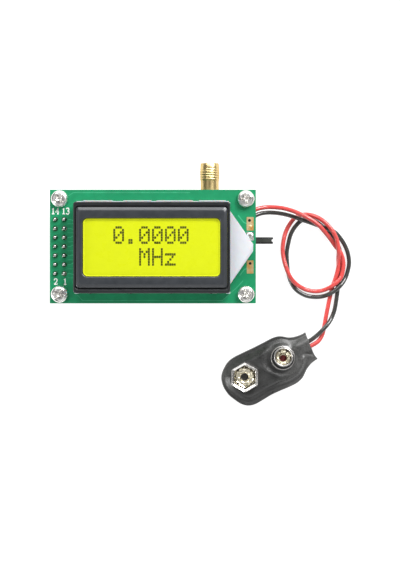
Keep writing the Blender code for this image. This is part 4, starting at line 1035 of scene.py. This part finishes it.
def make_trimmer():
    """A trimmer seen from below: its case, the slotted rotor in a round well, and three terminals."""
    low, high = cad("contrast_trimmer_body")
    x, y, half, _ = middle("contrast_trimmer_body")
    rows = ((0.15, high.z), (0.0, high.z - 0.15), (0.0, low.z + 0.2), (0.18, low.z), (0.3, low.z))
    well = ((1.85, low.z), (1.76, low.z + 0.1), (1.76, high.z - 1.25))
    bm = bmesh.new()
    skin(bm, frames(half, half, rows, 0.3, 5, x, y) + rings(well, 24, x, y))
    piece("trimmer_case", bm, "trimmer", "ptfe", replaces=["contrast_trimmer_body"])
    low, high = cad("contrast_trimmer_rotor")
    rows = ((0.1, low.z), (0.0, low.z + 0.12), (0.0, low.z + 0.6))
    bm = bmesh.new()
    for side in (-1, 1):
        angles = [math.radians(side * 90 - 79 + 158 * i / 12) for i in range(13)]
        segment = [(ROTOR_R * math.cos(a), ROTOR_R * math.sin(a)) for a in angles]
        skin(bm, drawn_in(segment, (0.0, side * 0.8), rows), turn_z(x, y))
    lathe(bm, [(ROTOR_R, low.z + 0.58), (ROTOR_R, high.z - 0.1), (1.45, high.z)], 40, turn_z(x, y))
    block(bm, (-0.22, 0.5, low.z - 0.02), (0.22, 1.3, low.z + 0.2), 0.05, turn_z(x, y, 90))
    rotor = {"body": "trimmer_rotor", "replaces": ["contrast_trimmer_rotor"]}
    piece("trimmer_screw", bm, "brass", "nickel", **rotor)
    bm = bmesh.new()
    for sx, sy in ((-1.6, -2.4), (1.6, -2.4), (0.0, 2.4)):
        low = (x + sx - 0.5, y + sy - 0.35, MAIN_LOW - 0.5)
        block(bm, low, (x + sx + 0.5, y + sy + 0.35, MAIN_LOW), 0.12)
    piece("trimmer_terminals", bm, "tin", "nickel")


# ---------------------------------------------------------------- counter board
def chip(bm, node_name):
    """A moulded package with drafted sides and a dimple by its first pin."""
    low, high = cad(node_name)
    x, y, half_x, half_y = middle(node_name)
    mid = (low.z + high.z) / 2
    rows = ((0.25, low.z + 0.08), (0.0, mid - 0.06), (0.0, mid + 0.06), (0.2, high.z - 0.06), (0.28, high.z))
    dimple = rings(((0.32, high.z), (0.28, high.z - 0.07)), 24, x - half_x + 0.85, y - half_y + 0.85)
    skin(bm, frames(half_x, half_y, rows, 0.12, 5, x, y) + dimple)


def legs(bm, node_name, count, pitch):
    """Gull-wing leads down both long sides of a chip."""
    low, high = cad(node_name)
    x, mid, half = (low.x + high.x) / 2, (low.z + high.z) / 2, 0.19 * pitch
    foot = low.z
    path = ((-0.1, mid), (0.3, mid - 0.02), (0.42, mid - 0.1), (0.5, foot + 0.1), (0.62, foot), (1.05, foot))
    for i in range(count):
        leg_x = x + (i - (count - 1) / 2) * pitch
        for side, y in ((-1, low.y), (1, high.y)):
            strip(bm, [(leg_x, y + side * out, z) for out, z in path], 2 * half, 0.0, 0.12)


PASSIVES = (
    (-18.5, 9.0, 0), (-15.5, 9.0, 0), (-18.5, 5.0, 90), (-16.0, -3.5, 90), (-12.0, -4.0, 0),
    (-4.0, -3.6, 0), (1.0, 4.5, 90), (3.2, 4.5, 90), (5.0, 12.6, 0), (9.0, 5.0, 0), (12.0, 4.0, 90),
    (-3.0, 8.4, 0), (-7.0, 8.4, 0), (12.0, -5.0, 90), (22.5, -9.5, 90), (15.0, -8.0, 0),
    (21.5, 12.5, 90), (-10.0, 12.5, 0), (-19.0, -9.0, 90), (9.5, -13.0, 0),
)  # fmt: skip
UNDER_PASSIVES = (
    (-18.0, 6.0, 0), (-6.5, -2.0, 90), (5.0, 3.0, 0), (8.0, -8.0, 90), (12.0, 4.0, 0), (19.0, -9.0, 90),
    (-14.0, 11.0, 0),
)  # fmt: skip
DISPLAY_PASSIVES = ((-18.0, 3.0, 0), (-16.0, 8.0, 90), (14.5, 7.0, 0), (17.0, -6.0, 90), (-1.0, -8.0, 0))


def passives(bodies, ends, places, z, up):
    """Chip resistors and capacitors, soldered at both ends, on a board's upper face, or lower if up is -1."""
    for i, (x, y, degrees) in enumerate(places):
        place = turn_z(x, y, degrees)
        tall = 0.0 if i % 3 else 0.4
        a, b = sorted((z + up * 0.06, z + up * (0.55 + tall)))
        block(bodies, (-0.72, -0.6, a), (0.72, 0.6, b), 0.06, place)
        a, b = sorted((z + up * 0.02, z + up * (0.6 + tall)))
        for side in (-1, 1):
            block(ends, (side * 0.85 - 0.22, -0.64, a), (side * 0.85 + 0.22, 0.64, b), 0.08, place)
            under, over = sorted((z, z + up * 0.05))
            block(ends, (side * 1.15 - 0.3, -0.7, under), (side * 1.15 + 0.3, 0.7, over), 0.02, place)


# Legs down each side, and their pitch
CHIPS = {"microcontroller": (9, 1.1), "prescaler_chip": (4, 1.27), "voltage_regulator": (2, 2.6)}
VIAS = (
    (-14.5, 6.5), (-3.0, 5.8), (0.5, 0.5), (6.5, -2.5), (13.0, 1.0), (22.5, 1.0), (-20.5, -6.0),
    (7.5, 13.5), (-13.5, -12.0), (10.5, -11.0),
)  # fmt: skip
# Printed outlines round parts: left, front, right and back
OUTLINES = (
    (-3.1, -11.8, 9.1, -6.2), (15.0, -15.0, 21.0, -9.0), (6.0, 6.2, 12.0, 11.8), (-14.0, -1.6, -2.0, 5.6),
)  # fmt: skip
UPPER_ROUTES = (
    ((11.0, 11.5), (13.0, 13.2)),
    ((2.0, -6.0), (2.0, -2.0), (4.0, 0.0), (13.0, 0.0), (13.5, 3.0)),
    ((20.0, -8.0), (20.0, -13.0)),
)
LOWER_ROUTES = (
    ((4.0, 8.0), (10.0, 8.0), (14.0, 11.5)),
    ((16.0, -8.0), (21.0, -3.0), (26.5, -1.4)),
    ((2.5, -8.0), (9.0, -4.0), (12.0, -8.0)),
)


def make_counter_traces():
    """Traces fanned out from the header on both faces, and a few between the parts."""
    upper, lower = list(UPPER_ROUTES), list(LOWER_ROUTES)
    for i, y in enumerate(PIN_ROWS):
        reach = -14.5 + 0.9 * (i % 3)
        upper.append([(-24.0, y), (-22.5, y), (reach - 2.0, y * 0.75 + 0.6), (reach, y * 0.45 + 1.0)])
        lower.append([(-24.0, y), (-20.0 + 0.8 * i, y), (-14.0 + i, y * 0.6), (-8.0 + 2.2 * i, y * 0.6)])
    for x in (-12.0, -9.8, -7.6, -5.4):
        rise = x / 9
        upper.append([(x, 6.0), (x, 9.5 + rise), (x + 2.2, 11.5 + rise), (x + 6.0, 11.5 + rise)])
    bm = bmesh.new()
    for routes, z in ((upper, MAIN_TOP), (lower, MAIN_LOW - 0.035)):
        for route in routes:
            strip(bm, route, 0.34, z, 0.035)
    piece("counter_board_traces", bm, "trace", "board")


def make_main_board():
    """What stands on the counter board and under the display board, and the traces, vias and marking."""
    top = MAIN_TOP
    bodies, ends = bmesh.new(), bmesh.new()
    passives(bodies, ends, PASSIVES, top, 1)
    passives(bodies, ends, UNDER_PASSIVES, MAIN_LOW, -1)
    passives(bodies, ends, DISPLAY_PASSIVES, LCD_LOW, -1)
    piece("passive_bodies", bodies, "brown", "epoxy")
    piece("passive_ends", ends, "tin", "nickel")
    packages, leads = bmesh.new(), bmesh.new()
    for name, (count, pitch) in CHIPS.items():
        chip(packages, name)
        legs(leads, name, count, pitch)
    piece("chip_bodies", packages, "epoxy", "epoxy", replaces=list(CHIPS))
    piece("chip_legs", leads, "tin", "nickel")
    make_counter_traces()
    bm = bmesh.new()
    for x, y in VIAS:
        for low, high in ((top + 0.005, top + 0.05), (MAIN_LOW - 0.05, MAIN_LOW - 0.005)):
            washer(bm, circle(0.42, 16, x, y), circle(0.18, 16, x, y), low, high)
    for x, y in HOLES:
        for low, high in ((top + 0.005, top + 0.04), (MAIN_LOW - 0.04, MAIN_LOW - 0.005)):
            washer(bm, circle(2.7, 32, x, y), circle(1.3, 32, x, y), low, high)
    piece("counter_board_vias", bm, "tin", "nickel")
    bm = bmesh.new()
    for x0, y0, x1, y1 in OUTLINES:
        strip(bm, [(x0, y0), (x1, y0), (x1, y1), (x0, y1), (x0, y0 + 0.2)], 0.16, top, 0.02)
    piece("counter_board_marking", bm, "silk", "board")
    make_tall_parts()


def make_tall_parts():
    """Crystal can on its flange, and the electrolytic capacitor with its sleeve and scored vent."""
    low, high = cad("reference_crystal")
    x, y, half_x, half_y = middle("reference_crystal")
    foot, top = low.z, high.z
    rows = ((0.0, foot + 0.05), (0.0, foot + 0.4), (0.25, foot + 0.45), (0.28, top - 0.3), (0.38, top - 0.1))
    bm = bmesh.new()
    ovals = [(half_x - i, half_y - i, z) for i, z in (*rows, (0.6, top))]
    skin(bm, [level(rounded(along, across, across - 0.02, 8, x, y), z) for along, across, z in ovals])
    piece("crystal_can", bm, "can", "nickel", replaces=["reference_crystal"])
    low, high = cad("filter_capacitor")
    x, y, radius, _ = middle("filter_capacitor")
    foot, top = low.z, high.z
    sleeve = (
        (0.15, foot + 0.1), (0.0, foot + 0.25), (0.0, foot + 0.9), (0.14, foot + 1.1), (0.14, foot + 1.3),
        (0.0, foot + 1.5), (0.0, top - 0.15), (0.2, top), (0.45, top), (0.45, foot + 0.1),
    )  # fmt: skip
    can = ((0.46, foot + 0.2), (0.46, top - 0.08), (0.6, top - 0.04), (radius - 0.1, top - 0.04))
    bm = bmesh.new()
    lathe(bm, [(radius - inset, z) for inset, z in sleeve], 40, turn_z(x, y), closed=True)
    piece("capacitor_sleeve", bm, "sleeve", "black_plastic", replaces=["filter_capacitor"])
    bm = bmesh.new()
    lathe(bm, [(radius - inset, z) for inset, z in can], 40, turn_z(x, y))
    for turn in (20, 110):
        block(bm, (-1.5, -0.06, top - 0.08), (1.5, 0.06, top), 0.03, turn_z(x, y, turn))
    for pin_x, pin_y in ((x - 1.0, y), (x + 1.0, y), (0.6, -9.0), (5.4, -9.0)):
        fillet(bm, pin_x, pin_y, MAIN_LOW, 0.8, 0.3, 0.8, up=-1)
    piece("capacitor_top", bm, "can", "aluminium")


# ---------------------------------------------------------------- battery clip
CLIP_SPOT, CLIP_TURN = (26.5, -38.1), 27.0
CLIP_SIDE = (
    (22.3, 3.4), (21.2, 3.3), (19.3, 3.5), (17.2, 4.2), (15.1, 5.7), (12.9, 6.3), (9.6, 6.3), (6.3, 6.3),
    (3.0, 6.4), (-0.5, 6.4), (-2.6, 5.9), (-4.2, 4.9), (-5.7, 3.6), (-6.6, 2.0), (-7.0, -0.2),
    (-6.7, -2.8), (-5.7, -5.1), (-4.6, -7.0), (-3.0, -8.4), (-0.9, -9.0), (1.9, -8.9), (4.7, -8.7),
    (7.6, -8.8), (10.5, -9.0), (13.2, -9.0), (15.3, -8.4), (16.6, -7.5), (17.8, -6.6), (19.5, -5.8),
    (20.9, -5.5), (22.0, -5.4),
)  # fmt: skip
CLIP_END = ((22.0, -5.4), (21.7, -4.0), (21.65, -1.7), (21.8, 0.6), (22.1, 2.3), (22.3, 3.4))
SPINE = (Vector((0.2, -1.3)), Vector((18.4, -1.1)))
SOCKET_AT, STUD_AT = Vector((0.0, 0.0)), Vector((12.7, -0.25))
STUD_LEAN = 0.5
STUD_STAR = 0.6  # share of the stud's lean that its rivet's star has


def ease(value, low, high):
    """0 below low, 1 above high, and a smooth step between."""
    t = min(max((value - low) / (high - low), 0.0), 1.0)
    return t * t * (3 - 2 * t)


def hump(value, centre, width):
    """1 at the centre, falling away smoothly on both sides."""
    return math.exp(-(((value - centre) / width) ** 2))


def lead_tunnel(x, y):
    """How far the cover is lifted over the two leads, towards the open end."""
    return ease(x, 12.0, 18.5) * ease(4.3 - abs(y + 0.3), 0.0, 3.6)


def cover_top(x, y, inset):
    """Height of the front cover: welded rim, groove, then a plateau drawn down round the stud."""
    spot = Vector((x, y))
    z = 0.98 + 0.66 * ease(inset, -0.12, 0.14) - 0.1 * hump(inset, 0.75, 0.2)
    z += 1.32 * ease(inset, 0.85, 3.1) * (1.0 - 0.5 * ease(x, 14.0, 19.5))
    # A swelling round the stud's dip, higher on its lower side
    away = (spot - STUD_AT).length
    below = ease(STUD_AT.y - y, -1.5, 3.5)
    z += (0.08 + 0.5 * below) * hump(away, 6.1, 0.9) * ease(inset, 0.8, 1.8) - 0.34 * hump(away, 4.3, 0.7)
    # A dip between the snaps, two creases by the socket and a swelling round it
    z -= 0.4 * hump(x - 0.2 * y, 7.8, 0.9) * hump(y, 0.4, 2.6) * ease(inset, 1.5, 3.0)
    z += 0.4 * hump(x + 0.7 * y, 5.2, 0.5) * hump(y, -0.9, 2.0)
    z += 0.24 * hump(x - 0.45 * y, 5.7, 0.3) * hump(y, -2.8, 1.5)
    z += 0.1 * hump((spot - SOCKET_AT).length, 5.2, 0.6) * ease(inset, 1.0, 2.2)
    # Ripples at the open end, and the tunnel over the leads
    if x > 16.0:
        z += 0.14 * math.sin(2.1 * (y + 0.4 * x)) * ease(x, 16.0, 19.0) * ease(inset, 0.5, 2.5)
    tunnel = 0.98 + 1.95 * lead_tunnel(x, y)
    z = max(z, tunnel) if inset > 0.01 else max(z, tunnel - 0.05)
    z += 0.07 * noise.noise(Vector((x * 0.5, y * 0.5, 3.0))) * ease(inset, 0.8, 3.0)
    return min(z, 3.14)


def back_height(x, y, inset):
    """Height of the back cover's outer side: a raised rim, a groove, and a floor that isn't quite flat."""
    edge = 0.42 * (1.0 - ease(inset, -0.02, 0.25)) + 0.14 * hump(inset, 1.05, 0.28)
    return edge + 0.05 * ease(noise.noise(Vector((x * 0.3, y * 0.3, 8.0))), 0.0, 1.0) * ease(inset, 1.0, 3.0)


def cover_floor(x, y, inset):
    """Height of the front cover's inner side, which rests on the stiff plate and on the back cover's rim."""
    over_plate = ease(inset, 1.6, 2.4) * ease(16.8 - x, 0.0, 1.0)
    return max(0.95 + 1.35 * over_plate, 0.95 + 1.42 * lead_tunnel(x, y))


def clip_loops(insets, shares):
    """Loops of (x, y, distance from the edge) from the clip's outline in to its spine."""
    sides = smooth_curve([(*p, 0.0) for p in CLIP_SIDE], 4)[:-1]
    outline = sides + smooth_curve([(*p, 0.0) for p in CLIP_END], 5)[:-1]
    start, end = SPINE
    loops = [[] for _ in (*insets, *shares)]
    for point in outline:
        point = point.to_2d()
        share = (point - start).dot(end - start) / (end - start).length_squared
        foot = start + (end - start) * min(max(share, 0.0), 1.0)
        span = (foot - point).length
        steps = [*insets, *(insets[-1] + (span - insets[-1]) * share for share in shares)]
        for loop, inset in zip(loops, steps, strict=True):
            loop.append((*(point + (foot - point) * inset / span), inset))
    return loops


def clip_place(spot=(0.0, 0.0), turn=0.0):
    """Moves a shape drawn in the clip's own frame, at a spot of the clip, to where the clip lies."""
    clip = turn_z(*CLIP_SPOT, CLIP_TURN)
    return clip @ Matrix.Translation((*spot, 0.0)) @ Matrix.Rotation(math.radians(turn), 4, "Z")


COVER_INSETS = (0.0, 0.06, 0.14, 0.4, 0.6, 0.8, 0.95, 1.1, 1.25, 1.45, 1.7, 1.95, 2.2, 2.5)
COVER_SHARES = (*(i / 12 for i in range(1, 12)), 0.97)
COVER_SHEET = 0.12


def cover_piece(name, node_name, loops):
    """One of the clip's two vinyl covers."""
    bm = bmesh.new()
    skin(bm, loops, clip_place())
    bmesh.ops.triangulate(bm, faces=[face for face in bm.faces if len(face.verts) > 4])
    return piece(name, bm, "leather", "leatherette", replaces=[node_name], sharp=50.0)


def make_covers():
    """The front cover drawn over the plate and the leads, and the back cover, welded along their edge."""
    loops = clip_loops(COVER_INSETS, COVER_SHARES)

    def at_height(rule, chosen=loops):
        return [[(x, y, rule(x, y, inset)) for x, y, inset in loop] for loop in chosen]

    floor = at_height(lambda x, y, d: min(cover_floor(x, y, d), cover_top(x, y, d) - COVER_SHEET))
    front = cover_piece("clip_front", "clip_front_cover", at_height(cover_top)[::-1] + floor[::3])
    face = at_height(lambda x, y, d: 0.9)
    back = cover_piece("clip_back", "clip_back_cover", face[::-4] + [face[0]] + at_height(back_height))
    return front, back


PETAL_SECTION = (
    (-1.0, -0.6), (-0.8, -1), (0.8, -1), (1.0, -0.6), (1.0, 0.6), (0.8, 1), (-0.8, 1), (-1.0, 0.6),
)  # fmt: skip


def petals(bm, count, path, place, turn=0.0):
    """A star of curled metal petals; path is (radius, height, half width) from the middle outwards."""
    for i in range(count):
        spin = Matrix.Rotation(math.radians(turn + 360 * i / count), 4, "Z")
        loops = []
        for k, (radius, z, half) in enumerate(path):
            before, after = path[max(k - 1, 0)], path[min(k + 1, len(path) - 1)]
            along = Vector((after[0] - before[0], 0, after[1] - before[1])).normalized()
            up = Vector((-along.z, 0, along.x)) * 0.11
            loops.append([Vector((radius, half * a, z)) + up * b for a, b in PETAL_SECTION])
        skin(bm, loops, place @ spin)


def make_eyelet(name, node_name, tube, count, curl, place, star_place):
    """A hollow rivet through a snap: a flange, a tube, and a lip split and curled into a star."""
    outer, bore, outer_top, lip = tube
    profile = [(outer, outer_top), (outer, 1.35), (2.1, 1.3), (2.15, 1.0), (bore, 1.0), *lip]
    bm = bmesh.new()
    lathe(bm, profile, 32, place, closed=True)
    petals(bm, count, curl, star_place, 180.0 / count)
    return piece(name, bm, "brass", "gold", replaces=[node_name], sharp=40.0)


def make_socket():
    """The hexagonal snap socket with its rolled rim, and its rivet with an eight-pointed star."""
    low, high = cad("snap_socket")
    foot, top = low.z, high.z
    place = clip_place(SOCKET_AT, 90.0 - CLIP_TURN)
    rows = (
        (foot, 6.6, 3.6), (foot, 7.2, 3.9), (foot + 0.25, 7.6, 4.25), (foot + 0.8, 7.72, 4.42),
        (top - 0.5, 7.74, 4.42), (top - 0.2, 7.7, 4.4), (top - 0.05, 7.6, 4.36), (top, 7.46, 4.3),
        (top - 0.03, 7.34, 4.24), (top - 0.16, 6.5, 3.74), (top - 0.22, 6.34, 3.64),
        (top - 0.5, 6.2, 3.54), (top - 1.2, 6.1, 3.46), (foot + 1.25, 6.0, 3.36),
        (foot + 1.12, 5.8, 3.2), (foot + 0.72, 2.9, 1.45), (foot + 0.6, 2.6, 1.3),
        (foot + 0.1, 2.6, 1.3), (foot, 2.7, 1.35),
    )  # fmt: skip
    bm = bmesh.new()
    skin(bm, [hex_row(z, across, limit) for z, across, limit in rows], place, closed=True)
    shell = piece("clip_socket", bm, "nickel", "nickel", replaces=["snap_socket"], sharp=40.0)
    z = foot + 1.0
    curl = (
        (1.22, z - 0.1, 0.42), (1.3, z + 0.3, 0.5), (1.5, z + 0.52, 0.6), (1.85, z + 0.6, 0.76),
        (2.2, z + 0.54, 0.84), (2.5, z + 0.4, 0.72), (2.68, z + 0.22, 0.44),
    )  # fmt: skip
    tube = (1.28, 1.1, z - 0.1, ((1.12, z + 0.1), (1.24, z + 0.14)))
    return shell, make_eyelet("socket_eyelet", "socket_rivet", tube, 8, curl, place, place)


def make_stud():
    """The round snap stud, waisted, with a bead round its foot, and its rivet with a six-pointed star."""
    low, high = cad("snap_stud")
    foot, top = low.z, high.z
    place = clip_place(STUD_AT, -CLIP_TURN)
    profile = (
        (1.4, foot), (3.45, foot), (3.6, foot + 0.1), (3.62, foot + 0.22), (3.55, foot + 0.34),
        (3.43, foot + 0.39), (3.31, foot + 0.35), (3.24, foot + 0.24), (3.14, foot + 0.2),
        (2.98, foot + 0.22), (2.78, foot + 0.34), (2.66, foot + 0.6), (2.58, foot + 0.95),
        (2.6, foot + 1.45), (2.76, foot + 1.9), (2.86, top - 0.45), (2.84, top - 0.22),
        (2.75, top - 0.05), (2.62, top), (2.49, top - 0.04), (2.4, top - 0.16), (2.34, top - 0.4),
        (2.26, foot + 0.9), (2.1, foot + 0.6), (1.4, foot + 0.4),
    )  # fmt: skip
    bm = bmesh.new()
    lean = [STUD_LEAN * ease(z, foot + 0.4, top) for _, z in profile]
    loops = [level(circle(radius, 64, y=y), z) for (radius, z), y in zip(profile, lean, strict=True)]
    skin(bm, loops, place, closed=True)
    shell = piece("clip_stud", bm, "steel", "nickel", replaces=["snap_stud"], sharp=50.0)
    # A black ring between the bead and the neck: painted shadow in the groove
    groove = ((3.3, foot + 0.2), (3.3, foot + 0.36), (2.72, foot + 0.5), (2.7, foot + 0.2))
    bm = bmesh.new()
    skin(bm, rings(groove, 48, y=0.08), place, closed=True)
    shade = piece("stud_groove_shadow", bm, "shadow_black", "nickel")
    z = foot + 1.5
    curl = (
        (1.16, z - 0.2, 0.52), (1.24, z + 0.3, 0.62), (1.45, z + 0.5, 0.74), (1.75, z + 0.52, 0.84),
        (2.0, z + 0.38, 0.76), (2.14, z + 0.16, 0.5),
    )  # fmt: skip
    tube = (1.25, 1.05, z - 0.1, ((1.08, z), (1.2, z + 0.05)))
    star = place @ Matrix.Translation((0.0, STUD_LEAN * STUD_STAR, 0.0))
    return shell, shade, make_eyelet("stud_eyelet", "stud_rivet", tube, 6, curl, place, star)


def make_clip():
    """All that hangs on the leads at their far end."""
    made = [*make_covers(), *make_socket(), *make_stud()]
    dress("fibre", "clip_plate")
    for name, look, outer, top, spot in (
        ("stud_washer", "oxblood", 1.0, 3.6, STUD_AT),
        ("socket_washer", "rubber", 1.06, 2.9, SOCKET_AT),
    ):
        bm = bmesh.new()
        lathe(bm, [(outer, 1.3), (outer, top - 0.1), (0.5, top), (0.06, top)], 24, clip_place(spot))
        made.append(piece(name, bm, look, "fibre"))
    return [*made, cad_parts["clip_plate"]]


# ---------------------------------------------------------------- floor
FLOOR_HALF = 0.9


def make_floor():
    """A pale floor, in metres."""
    bm = bmesh.new()
    bmesh.ops.create_grid(bm, x_segments=1, y_segments=1, size=FLOOR_HALF)
    mesh = bpy.data.meshes.new("floor")
    bm.to_mesh(mesh)
    bm.free()
    mesh.materials.append(LOOK["floor"])
    floor = bpy.data.objects.new("floor", mesh)
    bpy.context.scene.collection.objects.link(floor)


clip_pieces = make_clip()
plug_pieces = make_power_connector()
make_lead("red_lead", RED_ROUTE, "red", "battery_lead_positive")
make_lead("black_lead", BLACK_ROUTE, "dark", "battery_lead_negative")
make_screws()
make_posts()
make_display()
make_bezel()
make_tray()
make_display_board()
make_header()
make_jack()
make_slide_switch()
make_keys()
make_trimmer()
make_main_board()
make_floor()
